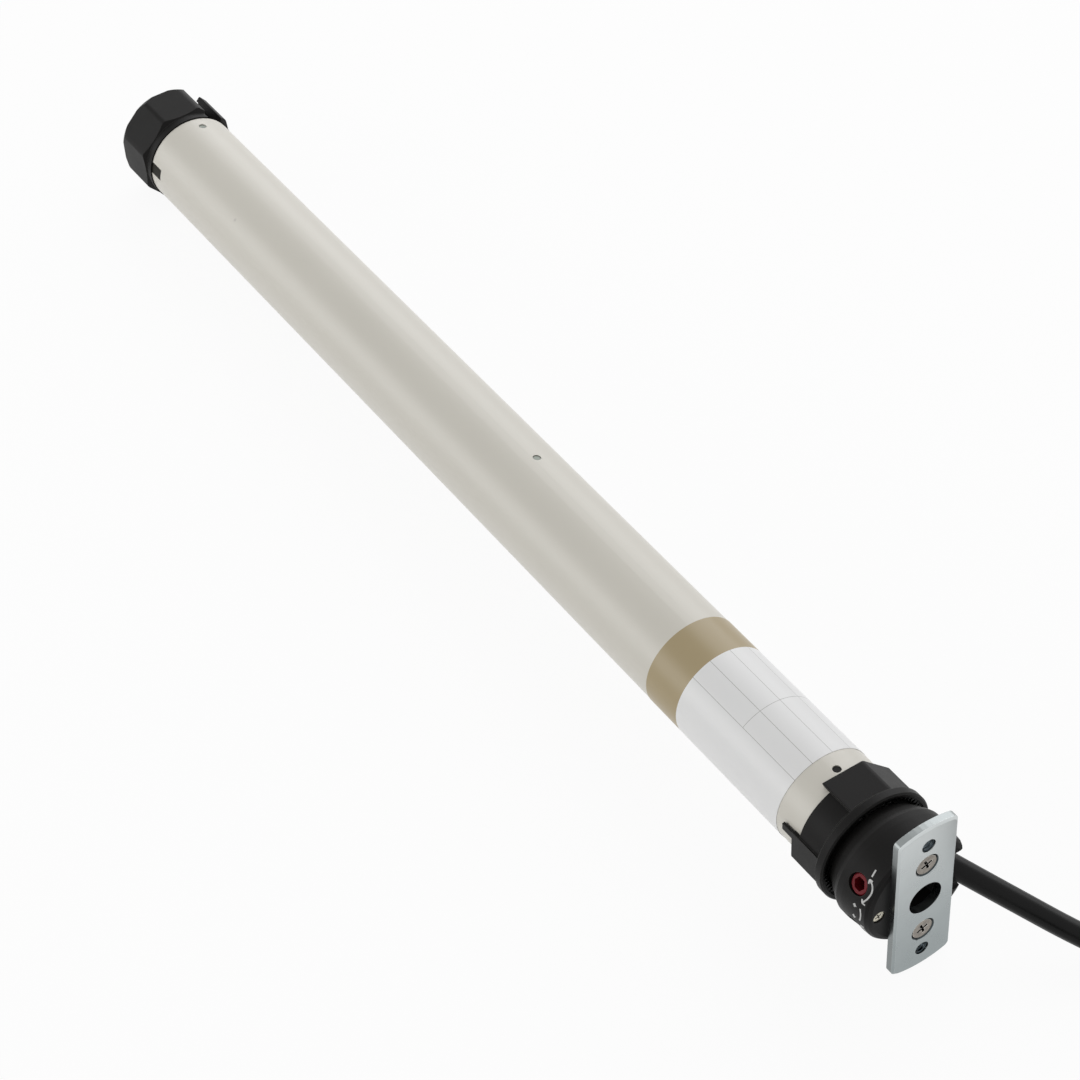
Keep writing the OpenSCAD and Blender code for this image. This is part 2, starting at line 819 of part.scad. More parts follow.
module brake_armature() {
  color("#9a9da0") difference() {
    union() {
      rod(armature_x, armature_x + armature_t, brake_room_r - 0.4);
      for (k = [0:2])
        at_x(armature_x) rotate([0, 0, 120 * k])
          translate([brake_room_r - 1.5, -1.9, 0]) cube([2.3, 3.8, armature_t]);
    }
    rod(friction_x, brake_front, shaft_d / 2 + 2.1);
  }
}

// Brake spring: five coils between the rear shield and the armature
spring_r = 8.6;
spring_wire = 1.1;
spring_coils = 5;
spring_end = armature_x + armature_t + brake_lift + 0.1;
module brake_spring() {
  low = spring_end + spring_wire / 2;
  high = brake_front - 0.05 - spring_wire / 2;
  steps = 8 * spring_coils;
  path = [
    for (i = [0:steps])
      let (a = 360 * i / 8)
      [low + (high - low) * i / steps, spring_r * cos(a), spring_r * sin(a)]
  ];
  color("#b5b7b9") spring_tube(path, spring_wire / 2, 6);
}

// A tube whose rings are square to a helix about the axis
module spring_tube(path, r, sides) {
  n = len(path);
  rings = [
    for (i = [0:n - 1])
      let (
        along = heading(path, i),
        out = unit([0, path[i][1], path[i][2]]),
        side = unit(cross(along, out)),
        up = cross(side, along)
      )
      each [for (k = [0:sides - 1]) let (a = 360 * k / sides) path[i] + r * (cos(a) * side + sin(a) * up)]
  ];
  faces = concat(
    [for (k = [1:sides - 2]) [0, k + 1, k]],
    [
      for (i = [0:n - 2], k = [0:sides - 1])
        let (a = i * sides + k, b = i * sides + (k + 1) % sides)
        each [[a, b, b + sides], [a, b + sides, a + sides]]
    ],
    [for (k = [1:sides - 2]) [(n - 1) * sides, (n - 1) * sides + k, (n - 1) * sides + k + 1]]
  );
  polyhedron(rings, faces, convexity = 8);
}

module damping_ring() {
  color("#2e2e2e") difference() {
    rod(cover_front, brake_end, inner_r);
    rod(cover_front - 1, brake_end + 1, 6);
    for (k = [0:5])
      rod(cover_front - 1, brake_end + 1, 2, 11.5 * cos(60 * k), 11.5 * sin(60 * k));
  }
}

module gearbox_cover() {
  color("#3a3c3e") difference() {
    rod(gears_front, cover_front, inner_r);
    rod(gears_front - 1, cover_front + 1, tip_r + 0.6);
    rod(gears_front + 3, cover_front + 1, 8);
  }
}

module ring_gear_housing() {
  color("#b8babd") slab(gears_end, gears_front) difference() {
    circle(r = inner_r);
    inner_teeth(ring_teeth, gear_module);
  }
}

module sun_pinion() {
  color("#d0c090") slab(stage_x(0) - planet_len(0), stage_x(0)) difference() {
    outer_teeth(sun_teeth, gear_module);
    circle(r = tip_r);
  }
}

// One planet, in mesh with the sun and the ring at the angle a
module planet(k, a) {
  color("#cfd2d4") at_x(stage_x(k) - planet_len(k)) rotate([0, 0, a])
    translate([planet_at, 0, 0]) linear_extrude(planet_len(k)) difference() {
      outer_teeth(planet_teeth, gear_module);
      circle(r = pin_d / 2 + run_gap);
    }
}

module planet_1a() { planet(0, 0); }
module planet_1b() { planet(0, 120); }
module planet_1c() { planet(0, 240); }
module planet_2a() { planet(1, 0); }
module planet_2b() { planet(1, 120); }
module planet_2c() { planet(1, 240); }
module planet_3a() { planet(2, 0); }
module planet_3b() { planet(2, 120); }
module planet_3c() { planet(2, 240); }

// Disc and three pins of a carrier
module carrier_base(k) {
  x = stage_x(k) - planet_len(k) - stage_gap / 2;
  rod(x - carrier_t, x, carrier_r);
  for (a = [0, 120, 240])
    rod(x - 1, stage_x(k) + 0.4, pin_d / 2, planet_at * cos(a), planet_at * sin(a));
}

module carrier_with_sun(k) {
  x = stage_x(k) - planet_len(k) - stage_gap / 2 - carrier_t;
  color("#c9b27a") union() {
    carrier_base(k);
    slab(stage_x(k + 1) - planet_len(k + 1), x + 0.5) outer_teeth(sun_teeth, gear_module);
  }
}

module carrier_1() {
  carrier_with_sun(0);
}

module carrier_2() {
  carrier_with_sun(1);
}

// Output carrier and its shaft; two flats drive the wheel
shaft_end = wheel_far + 6;
flat_half = output_d / 2 - 1;
module output_carrier() {
  x = stage_x(2) - planet_len(2) - stage_gap / 2 - carrier_t;
  color("#bfc2c4") difference() {
    union() {
      carrier_base(2);
      rod(octagon_near, x + 0.5, output_d / 2);
      slab(shaft_end, octagon_near + 0.01) shaft_section(0);
    }
    rod(shaft_end - 1, shaft_end + 12, 2);
  }
}

module shaft_section(gap) {
  intersection() {
    circle(r = output_d / 2 + gap);
    square([output_d + 2, 2 * flat_half + 2 * gap], center = true);
  }
}

// End cap: closes the tube, carries the output bush and keys into the notches
output_bush_r = output_d / 2 + 2.5;
cap_wall = 4;
module end_cap() {
  color("#33342c") difference() {
    union() {
      pipe(tube_far, gears_end, inner_r, inner_r - cap_wall);
      rod(tube_far, tube_far + cap_wall, inner_r - 1);
      rod(tube_far, gears_end - 4, output_bush_r + 2.4);
      rod(gears_end - 8, gears_end - 4, inner_r - 1);
      intersection() {
        key_notches(fit_gap);
        pipe(tube_far, gears_end, tube_r - 0.1, inner_r - cap_wall);
      }
    }
    rod(tube_far - 1, gears_end + 1, output_bush_r + 0.03);
    rivet_holes(bore_r - 3.2);
  }
}

module output_bush() {
  color("#b08d57") pipe(tube_far, gears_end - 4, output_bush_r, output_d / 2 + run_gap);
}

// Drive wheel: a ribbed octagon with a slot for the winding shaft's seam
wheel_wall = 2.2;
hub_r = output_d / 2 + 3.2;
web_t = 1.8;
seam_angle = 45;
chamfer = 1.2;
module drive_wheel() {
  half = wheel_flats / 2;
  tip = half / cos(22.5);
  color("#222222") difference() {
    intersection() {
      union() {
        slab(wheel_far, octagon_near) difference() {
          polygon(octagon(half, wheel_corner));
          polygon(octagon(half - wheel_wall, wheel_corner - 1));
        }
        slab(octagon_near - 3, octagon_near) polygon(octagon(half, wheel_corner));
        pipe(octagon_near - 1, wheel_near, tube_r + 0.4, tube_r - 2);
        rod(wheel_far, octagon_near, hub_r);
        slab(wheel_far + 1.5, octagon_near) intersection() {
          polygon(octagon(half - 0.5, wheel_corner - 0.5));
          union() {
            for (k = [0:3])
              rotate(22.5 + 45 * k) square([3 * half, web_t], center = true);
            rotate(seam_angle) translate([half - seam_deep - 2, -seam_w / 2 - 2])
              square([10, seam_w + 4]);
          }
        }
      }
      turned([
        [0, wheel_near], [tip, wheel_near], [tip, octagon_near],
        [half - 0.2, octagon_near], [tip, octagon_near - tip + half],
        [tip, wheel_far + 2.4], [tip - chamfer, wheel_far], [0, wheel_far]
      ]);
    }
    slab(wheel_far - 1, octagon_near + 1) shaft_section(0.03);
    rod(wheel_far - 1, shaft_end - 0.2, output_d / 2 + 1);
    at_x(wheel_far - 1) rotate([0, 0, seam_angle])
      translate([half - seam_deep, -seam_w / 2, 0]) cube([12, seam_w, 40]);
  }
}

washer_t = 1.2;
module wheel_washer() {
  color("silver") pipe(shaft_end - 0.2 - washer_t, shaft_end - 0.2, output_d / 2 + 0.8, 2.1);
}

module wheel_screw() {
  face = shaft_end - 0.2 - washer_t;
  color("silver") difference() {
    union() {
      turned([[0, face - 2.6], [2.6, face - 2.6], [3.8, face - 1.6], [3.9, face], [0, face]]);
      rod(face - 0.01, face + 11, 1.95);
    }
    for (turn = [0, 90])
      at_x(face - 3) rotate([0, 0, turn]) translate([-2.1, -0.45, 0]) cube([4.2, 0.9, 1.9]);
  }
}

module cord() {
  color("#1c1c1c") swept_tube(cord_route, cord_along, coil_heading, cord_d / 2, cord_sides);
}

// The coil lies on the surface, which is turned a little about Y
coil_heading = [cos(lie_angle), 0, -sin(lie_angle)];
coil_start = cord_route[len(cord_route) - 1];
module on_surface() {
  translate(coil_start) rotate([0, lie_angle, 0]) translate([cord_d, -coil_outer, 0]) children();
}

function smooth(v) = v * v * (3 - 2 * v);
function coil_layer(t) = min(3, floor(t / coil_period));
function coil_radius(t) =
  let (
    k = coil_layer(t),
    u = t - k * coil_period,
    inward = k % 2 == 0,
    edge = inward ? coil_inner : coil_outer,
    start = inward ? coil_outer : coil_inner
  )
  u <= coil_turns
    ? start + (edge - start) * u / coil_turns
    : edge + (inward ? -1 : 1) * coil_dip * sin(360 * (u - coil_turns));
function coil_height(t) =
  let (
    k = coil_layer(t),
    u = t - k * coil_period
  )
  coil_rise * (k + (u <= coil_turns ? 0 : smooth(2 * (u - coil_turns))));
function coil_point(t) =
  let (a = 90 - 360 * t, r = coil_radius(t))
  [r * cos(a), r * sin(a), coil_height(t)];
coil_steps = round(coil_total * coil_rings);
coil_end_at = coil_point(coil_total);
coil_end_along = unit(coil_point(coil_total) - coil_point(coil_total - 0.002));
coil_path = concat(
  [[-cord_d, coil_outer, 0]],
  [for (i = [0:coil_steps]) coil_point(coil_total * i / coil_steps)],
  [coil_end_at + cord_d * coil_end_along]
);

// Least distance between parts of the coil that are over a third of a loop apart
coil_gaps = [
  for (i = [0:len(coil_path) - 1], j = [i + 8:len(coil_path) - 1])
    norm(coil_path[i] - coil_path[j]) - cord_d
];
echo(least_gap_in_the_coil = min(coil_gaps));
coil_lengths = [for (i = [1:len(coil_path) - 1]) norm(coil_path[i] - coil_path[i - 1])];
route_lengths = [for (i = [1:len(cord_route) - 1]) norm(cord_route[i] - cord_route[i - 1])];
function total(v, i = 0) = i == len(v) ? 0 : v[i] + total(v, i + 1);
echo(cord_length = total(coil_lengths) + total(route_lengths));

module cord_coil() {
  color("#1c1c1c") on_surface()
    swept_tube(coil_path, [1, 0, 0], coil_end_along, cord_d / 2, coil_sides);
}

// Flat strap around the coil's bundle, with its lock on the outside
module coil_tie() {
  r_in = coil_inner - coil_dip - cord_d / 2 - 0.4;
  r_out = coil_outer + coil_dip + cord_d / 2 + 0.4;
  low = -cord_d / 2 - tie_play;
  high = 2 * coil_rise + cord_d / 2 + 0.4;
  color("#dddddd") on_surface() rotate([0, 0, tie_angle]) translate([0, tie_w / 2, 0])
    rotate([90, 0, 0]) union() {
      linear_extrude(tie_w) difference() {
        translate([r_in - tie_t, low - tie_t])
          square([r_out - r_in + 2 * tie_t, high - low + 2 * tie_t]);
        translate([r_in, low]) square([r_out - r_in, high - low]);
      }
      translate([r_out + tie_t - 0.01, low + 9, -0.8]) cube([3.4, 5, tie_w + 1.6]);
    }
}

// The cord's bare end: four cores with tinned tips, lying on the coil
core_len = 22;
tip_len = 7;
module core_ends() {
  along = coil_end_along;
  side = unit(cross(along, [0, 0, 1]));
  color("#8a5a3a") on_surface() for (i = [-1, 1], j = [-1, 1])
    along_cord(coil_end_at + cord_d * along + i * 1.35 * side + [0, 0, j * 1.35], along) {
      cylinder(h = core_len, r = 1.15, $fn = 16);
      translate([0, 0, core_len - 0.01]) cylinder(h = tip_len, r = 0.7, $fn = 16);
    }
}

tube();
rating_label();
fixing_rivets();
mounting_plate();
plate_screws();
head_body();
cover_screw();
cord_plug();
spigot_seal();
red_adjuster();
white_adjuster();
crown();
limit_frame();
upper_spindle();
lower_spindle();
upper_nut();
lower_nut();
upper_switch();
lower_switch();
run_capacitor();
capacitor_cushions();
front_shield();
stator_core();
stator_windings();
rear_shield();
shaft_bushes();
rotor_core();
rotor_shaft();
brake_housing();
brake_disc();
brake_armature();
brake_spring();
damping_ring();
gearbox_cover();
ring_gear_housing();
sun_pinion();
planet_1a();
planet_1b();
planet_1c();
carrier_1();
planet_2a();
planet_2b();
planet_2c();
carrier_2();
planet_3a();
planet_3b();
planet_3c();
output_carrier();
end_cap();
output_bush();
drive_wheel();
wheel_washer();
wheel_screw();
cord();
cord_coil();
coil_tie();
core_ends();
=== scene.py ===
# Tubular motor for a roller blind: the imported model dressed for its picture.
# Lengths are metres in the model's own frame, with the tube's axis along X.
import math

import bmesh
import bpy
from mathutils import Matrix, Vector


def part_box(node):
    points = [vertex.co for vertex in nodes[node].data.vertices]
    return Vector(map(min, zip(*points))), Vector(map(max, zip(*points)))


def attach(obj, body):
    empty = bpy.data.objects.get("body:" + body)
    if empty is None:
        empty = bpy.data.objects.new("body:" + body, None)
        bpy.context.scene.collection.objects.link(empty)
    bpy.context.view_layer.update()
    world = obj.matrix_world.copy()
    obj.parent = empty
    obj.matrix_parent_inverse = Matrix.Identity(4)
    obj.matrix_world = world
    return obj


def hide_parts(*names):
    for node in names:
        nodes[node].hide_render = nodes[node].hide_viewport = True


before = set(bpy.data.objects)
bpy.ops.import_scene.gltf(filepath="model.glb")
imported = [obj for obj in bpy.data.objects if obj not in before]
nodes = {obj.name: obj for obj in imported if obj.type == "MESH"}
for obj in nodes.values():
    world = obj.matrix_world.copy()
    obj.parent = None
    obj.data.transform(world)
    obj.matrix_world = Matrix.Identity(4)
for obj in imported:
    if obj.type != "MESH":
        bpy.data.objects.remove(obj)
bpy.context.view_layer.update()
scene = bpy.context.scene

# Camera: a long lens that looks down the motor from beyond its head, as in
# the photograph. Its place and turn were fitted to the plate, the collar, the
# tube's holes and the drive wheel.
camera_data = bpy.data.cameras.new("photo_camera")
camera_data.sensor_fit = "HORIZONTAL"
camera_data.sensor_width = 36
camera_data.lens = 100.92
camera_data.clip_start = 0.02
camera_data.clip_end = 30
camera = bpy.data.objects.new("photo_camera", camera_data)
scene.collection.objects.link(camera)
camera_right = Vector((0.55654579, 0.82959645, -0.04501692))
camera_up = Vector((-0.5675603, 0.41920759, 0.70861859))
camera_back = Vector((0.6067389, -0.36882887, 0.70415423))
camera_place = Vector((0.417793, -0.378640, 0.707294))
turn = Matrix((camera_right, camera_up, camera_back)).transposed().to_4x4()
camera.matrix_world = Matrix.Translation(camera_place) @ turn
scene.camera = camera

# Cord: 7.5 mm four-core mains cord with a black rubber sheath, held by a
# moulded plug in the head's side pocket. It comes down to the surface and
# ends in a round coil; the four cores are bare of sheath and have tinned tips.
CORD_D = 0.0075
# The motor stands on its plate and its smaller drive wheel, so it leans.
PLATE_LEN, PLATE_T = 0.0632, 0.003
WHEEL_FLATS, WHEEL_MIDDLE = 0.0366, -0.4551
LEAN = math.atan((PLATE_LEN - WHEEL_FLATS) / 2 / (PLATE_T / 2 - WHEEL_MIDDLE))
route = [
    (-8, 13.4, -0.3), (0, 20.2, -6.1), (9.9, 28.8, -13.4), (19.8, 37.4, -20.6),
    (29.4, 44.6, -25.3), (39.9, 50.5, -27.8), (51.1, 54.9, -28.9), (62.7, 57.8, -29.5),
    (74.6, 59.1, -29.9), (88, 59.2, -30.1), (101, 59.2, -30.3), (113, 59.2, -30.5),
    (122.5, 59.2, -30.6),
]
route = [Vector(p) / 1000 for p in route]
coil_inner, coil_pitch, coil_rise = 0.032, 0.0081, 0.008
coil_turns, coil_climb, coil_dip = 11 / 6, 0.5, 0.0012
coil_layers, coil_last, coil_marks = 3, 0.15, 24
coil_outer = coil_inner + coil_pitch * coil_turns
coil_period = coil_turns + coil_climb
coil_total = coil_layers * coil_period + coil_last
on_surface = (
    Matrix.Translation(route[-1])
    @ Matrix.Rotation(LEAN, 4, "Y")
    @ Matrix.Translation((CORD_D, -coil_outer, 0))
)


def coil_point(t):
    """A point of the coil after t turns: layers run in and out by turns."""
    layer = min(coil_layers, math.floor(t / coil_period))
    u = t - layer * coil_period
    inward = layer % 2 == 0
    start, edge = (coil_outer, coil_inner) if inward else (coil_inner, coil_outer)
    if u <= coil_turns:
        r = start + (edge - start) * u / coil_turns
        z = coil_rise * layer
    else:
        climbed = (u - coil_turns) / coil_climb
        r = edge + (-1 if inward else 1) * coil_dip * math.sin(math.pi * climbed)
        z = coil_rise * (layer + climbed**2 * (3 - 2 * climbed))
    a = math.pi / 2 - 2 * math.pi * t
    return Vector((r * math.cos(a), r * math.sin(a), z))


steps = round(coil_total * coil_marks)
coil = [coil_point(coil_total * i / steps) for i in range(steps + 1)]
end_along = (coil_point(coil_total) - coil_point(coil_total - 0.002)).normalized()
coil = [Vector((-CORD_D, coil_outer, 0))] + coil + [coil[-1] + CORD_D * end_along]
line = route[:-1] + [on_surface @ p for p in coil]


def smooth_line(points, parts):
    """Points on a smooth curve through the given ones."""
    ends = [2 * points[0] - points[1]] + list(points) + [2 * points[-1] - points[-2]]
    out = []
    for a, b, c, d in zip(ends, ends[1:], ends[2:], ends[3:]):
        for k in range(parts):
            t = k / parts
            bend = (2 * a - 5 * b + 4 * c - d) * t * t + (3 * b - a - 3 * c + d) * t**3
            out.append(0.5 * (2 * b + (c - a) * t + bend))
    return out + [points[-1]]


def round_cord(name, points, radius, resolution=4):
    """A curve of one open spline with a round section and closed ends."""
    data = bpy.data.curves.new(name, "CURVE")
    data.dimensions = "3D"
    data.bevel_depth = radius
    data.bevel_resolution = resolution
    data.use_fill_caps = True
    spline = data.splines.new("POLY")
    spline.points.add(len(points) - 1)
    for p, q in zip(spline.points, points):
        p.co = (*q, 1)
    spline.use_smooth = True
    made = bpy.data.objects.new(name, data)
    scene.collection.objects.link(made)
    return made


def number_in(face, name, value):
    """A named number among a node group's inputs."""
    face.new_socket(name, in_out="INPUT", socket_type="NodeSocketFloat").default_value = value


def math_node(tree, operation, *values):
    """A Math node whose inputs are numbers or other nodes' outputs."""
    made = tree.nodes.new("ShaderNodeMath")
    made.operation = operation
    for socket, value in zip(made.inputs, values):
        if isinstance(value, (int, float)):
            socket.default_value = value
        else:
            tree.links.new(value, socket)
    return made.outputs[0]


def mix_colors(tree, factor, first, second):
    """A Mix node for two colours, each a value or another node's output."""
    made = tree.nodes.new("ShaderNodeMix")
    made.data_type = "RGBA"
    sockets = made.inputs[0], made.inputs[6], made.inputs[7]
    for socket, value in zip(sockets, (factor, first, second)):
        if isinstance(value, (int, float)):
            socket.default_value = value
        elif isinstance(value, tuple):
            socket.default_value = (*value, 1)
        else:
            tree.links.new(value, socket)
    return made.outputs[2]


EDGE_GAIN, LEAST_WEAR_AND_SHEEN, GRAIN_DEPTH = 7.0, 0.4, 0.0001


def worked_surface_group():
    """Node group for every finish: grain, soft blotches, rounded edges lightened for wear and as
    painted highlight.
    """
    tree = bpy.data.node_groups.new("worked_surface", "ShaderNodeTree")
    face = tree.interface
    for name in ("Color", "Edge color"):
        face.new_socket(name, in_out="INPUT", socket_type="NodeSocketColor")
    for name, value in (
        ("Edge wear", 0.3), ("Edge radius", 0.0003), ("Grain per metre", 3000.0),
        ("Grain strength", 0.1), ("Blotch per metre", 60.0), ("Shade change", 0.12),
        ("Roughness", 0.5), ("Roughness change", 0.08),
    ):
        number_in(face, name, value)
    for name, kind in (("Color", "Color"), ("Roughness", "Float"), ("Normal", "Vector")):
        face.new_socket(name, in_out="OUTPUT", socket_type="NodeSocket" + kind)
    n, link = tree.nodes, tree.links.new
    source, target = n.new("NodeGroupInput"), n.new("NodeGroupOutput")
    place = n.new("ShaderNodeTexCoord")
    grain, blotch = n.new("ShaderNodeTexNoise"), n.new("ShaderNodeTexNoise")
    grain.inputs["Detail"].default_value = 3
    blotch.inputs["Detail"].default_value = 4
    for noise, scale in ((grain, "Grain per metre"), (blotch, "Blotch per metre")):
        link(place.outputs["Object"], noise.inputs["Vector"])
        link(source.outputs[scale], noise.inputs["Scale"])
    around = math_node(tree, "SUBTRACT", blotch.outputs["Fac"], 0.5)
    change, rough = source.outputs["Roughness change"], source.outputs["Roughness"]
    link(math_node(tree, "MULTIPLY_ADD", around, change, rough), target.inputs["Roughness"])
    rounded, flat = n.new("ShaderNodeBevel"), n.new("ShaderNodeNewGeometry")
    rounded.samples = 6
    link(source.outputs["Edge radius"], rounded.inputs["Radius"])
    turned = n.new("ShaderNodeVectorMath")
    turned.operation = "DOT_PRODUCT"
    link(rounded.outputs["Normal"], turned.inputs[0])
    link(flat.outputs["Normal"], turned.inputs[1])
    # Edges take the edge colour: partly wear, partly a painted highlight where edges catch light.
    edge = math_node(tree, "SUBTRACT", 1.0, turned.outputs["Value"])
    edge = math_node(tree, "MINIMUM", math_node(tree, "MULTIPLY", edge, EDGE_GAIN), 1.0)
    edge = math_node(tree, "MULTIPLY", edge, source.outputs["Edge wear"])
    patchy = math_node(tree, "ADD", blotch.outputs["Fac"], LEAST_WEAR_AND_SHEEN)
    edge = math_node(tree, "MULTIPLY", edge, patchy)
    tint = n.new("ShaderNodeVectorMath")
    tint.operation = "SCALE"
    link(source.outputs["Color"], tint.inputs[0])
    shade = math_node(tree, "MULTIPLY_ADD", around, source.outputs["Shade change"], 1.0)
    link(shade, tint.inputs["Scale"])
    edge_wear_and_sheen_tone = mix_colors(tree, edge, tint.outputs[0], source.outputs["Edge color"])
    link(edge_wear_and_sheen_tone, target.inputs["Color"])
    bump = n.new("ShaderNodeBump")
    bump.inputs["Distance"].default_value = GRAIN_DEPTH
    link(source.outputs["Grain strength"], bump.inputs["Strength"])
    link(grain.outputs["Fac"], bump.inputs["Height"])
    link(rounded.outputs["Normal"], bump.inputs["Normal"])
    link(bump.outputs["Normal"], target.inputs["Normal"])
    return tree


worked_surface = worked_surface_group()


def finish(name, color, roughness, metallic=0.0, specular=0.5, **details):
    """A material with the shared surface in it; details name the group's inputs."""
    made = bpy.data.materials.new(name)
    made.use_nodes = True
    made.diffuse_color = (*color, 1)
    tree = made.node_tree
    shader = tree.nodes["Principled BSDF"]
    shader.inputs["Metallic"].default_value = metallic
    shader.inputs["Specular IOR Level"].default_value = specular
    group = tree.nodes.new("ShaderNodeGroup")
    group.name = "surface"
    group.node_tree = worked_surface
    plain = {"Color": color, "Edge_color": color, "Edge_wear": 0.0, "Edge_radius": 0.0}
    plain["Roughness"] = roughness
    for key, value in {**plain, **details}.items():
        socket = group.inputs[key.replace("_", " ")]
        socket.default_value = (*value, 1) if isinstance(value, tuple) else value
    for out, socket in (
        ("Color", "Base Color"), ("Roughness", "Roughness"), ("Normal", "Normal"),
    ):
        tree.links.new(group.outputs[out], shader.inputs[socket])
    return made


def recolor(tree, color, socket="Color"):
    """Feeds a node's colour into a finish, or into its edges' wear and painted highlight."""
    tree.links.new(color, tree.nodes["surface"].inputs[socket])


def dress(piece, material):
    """Gives a piece one finish all over."""
    piece.data.materials.clear()
    piece.data.materials.append(material)


def dress_nodes(material, *names):
    """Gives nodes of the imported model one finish."""
    for name in names:
        dress(nodes[name], material)


cord_line = smooth_line(line, 4)
cord_rubber = finish(
    "cord_rubber", (0.0040, 0.0040, 0.0040), 0.30, specular=0.16, Grain_per_metre=2500,
    Grain_strength=0.14, Blotch_per_metre=90, Shade_change=0.4,
)
cord_sheath = round_cord("cord_sheath", cord_line, CORD_D / 2, resolution=5)
dress(cord_sheath, cord_rubber)

CORE_OFF, CORE_R, CORE_LEN = 0.00135, 0.00115, 0.022
TIP_R, TIP_LEN, TIP_HIDDEN = 0.0007, 0.0068, 0.0001
BANDS_PER_METRE, GREEN_SHARE = 90, 0.45
tinned = finish(
    "tinned_copper", (0.72, 0.71, 0.67), 0.32, metallic=1.0, Grain_per_metre=6000,
    Grain_strength=0.3, Blotch_per_metre=400, Shade_change=0.3,
)
up = Vector((0, 0, 1))
core_side = end_along.cross(up).normalized()
cores = []
for k, (name, color) in enumerate((
    ("core_brown", (0.10, 0.035, 0.012)), ("core_black", (0.015, 0.015, 0.015)),
    ("core_blue", (0.015, 0.07, 0.30)), ("core_green_yellow", (0.60, 0.50, 0.02)),
)):
    i, j = (-1, 1)[k % 2], (-1, 1)[k // 2]
    start = coil[-1] + CORE_OFF * (i * core_side + j * up)
    skin = finish(
        name, color, 0.36, Grain_per_metre=1500, Grain_strength=0.06, Shade_change=0.2,
    )
    if name == "core_green_yellow":
        tree = skin.node_tree
        place, bands = tree.nodes.new("ShaderNodeTexCoord"), tree.nodes.new("ShaderNodeTexWave")
        bands.bands_direction = "Y"
        bands.inputs["Scale"].default_value = BANDS_PER_METRE
        tree.links.new(place.outputs["Object"], bands.inputs["Vector"])
        green = math_node(tree, "LESS_THAN", bands.outputs["Fac"], GREEN_SHARE)
        striped = mix_colors(tree, green, color, (0.02, 0.20, 0.03))
        recolor(tree, striped)
    for part, reach, radius, material in (
        ("", (0, CORE_LEN), CORE_R, skin),
        ("_tip", (CORE_LEN - TIP_HIDDEN, CORE_LEN + TIP_LEN), TIP_R, tinned),
    ):
        path = [on_surface @ (start + s * end_along) for s in reach]
        wire = round_cord(name + part, path, radius)
        dress(wire, material)
        cores.append(wire)

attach(cord_sheath, "motor")
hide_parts("cord", "cord_coil")
for piece in cores:
    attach(piece, "motor")
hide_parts("core_ends")

# Coil tie: a flat white nylon strap round the bundle, moulded in one with its
# lock. The teeth on its outer face hold in the lock; it is pulled tight by hand.
strap_w, strap_t, strap_play, strap_slack = 0.0046, 0.0008, 0.0004, 0.0001
strap_in = coil_inner - coil_dip - CORD_D / 2 - strap_play - strap_t / 2
strap_out = coil_outer + coil_dip + CORD_D / 2 + strap_play + strap_t / 2
strap_low = -CORD_D / 2 - strap_slack - strap_t / 2
strap_high = 2 * coil_rise + CORD_D / 2 + strap_play + strap_t / 2
strap_corner, tooth_pitch, tooth_h = 0.0024, 0.0012, 0.00016


def open_tree(name, *sizes):
    """A geometry tree whose inputs are a mesh, named sizes and a material."""
    tree = bpy.data.node_groups.new(name, "GeometryNodeTree")
    face = tree.interface
    face.new_socket("Geometry", in_out="INPUT", socket_type="NodeSocketGeometry")
    for size, value in sizes:
        number_in(face, size, value)
    face.new_socket("Material", in_out="INPUT", socket_type="NodeSocketMaterial")
    face.new_socket("Geometry", in_out="OUTPUT", socket_type="NodeSocketGeometry")
    return tree, tree.nodes.new("NodeGroupInput")


def close_tree(tree, geometry, source):
    """Ends a tree in Realize Instances and Set Material."""
    n, link = tree.nodes, tree.links.new
    real, painted = n.new("GeometryNodeRealizeInstances"), n.new("GeometryNodeSetMaterial")
    link(geometry, real.inputs[0])
    link(real.outputs[0], painted.inputs["Geometry"])
    link(source.outputs["Material"], painted.inputs["Material"])
    link(painted.outputs[0], n.new("NodeGroupOutput").inputs["Geometry"])
    return tree


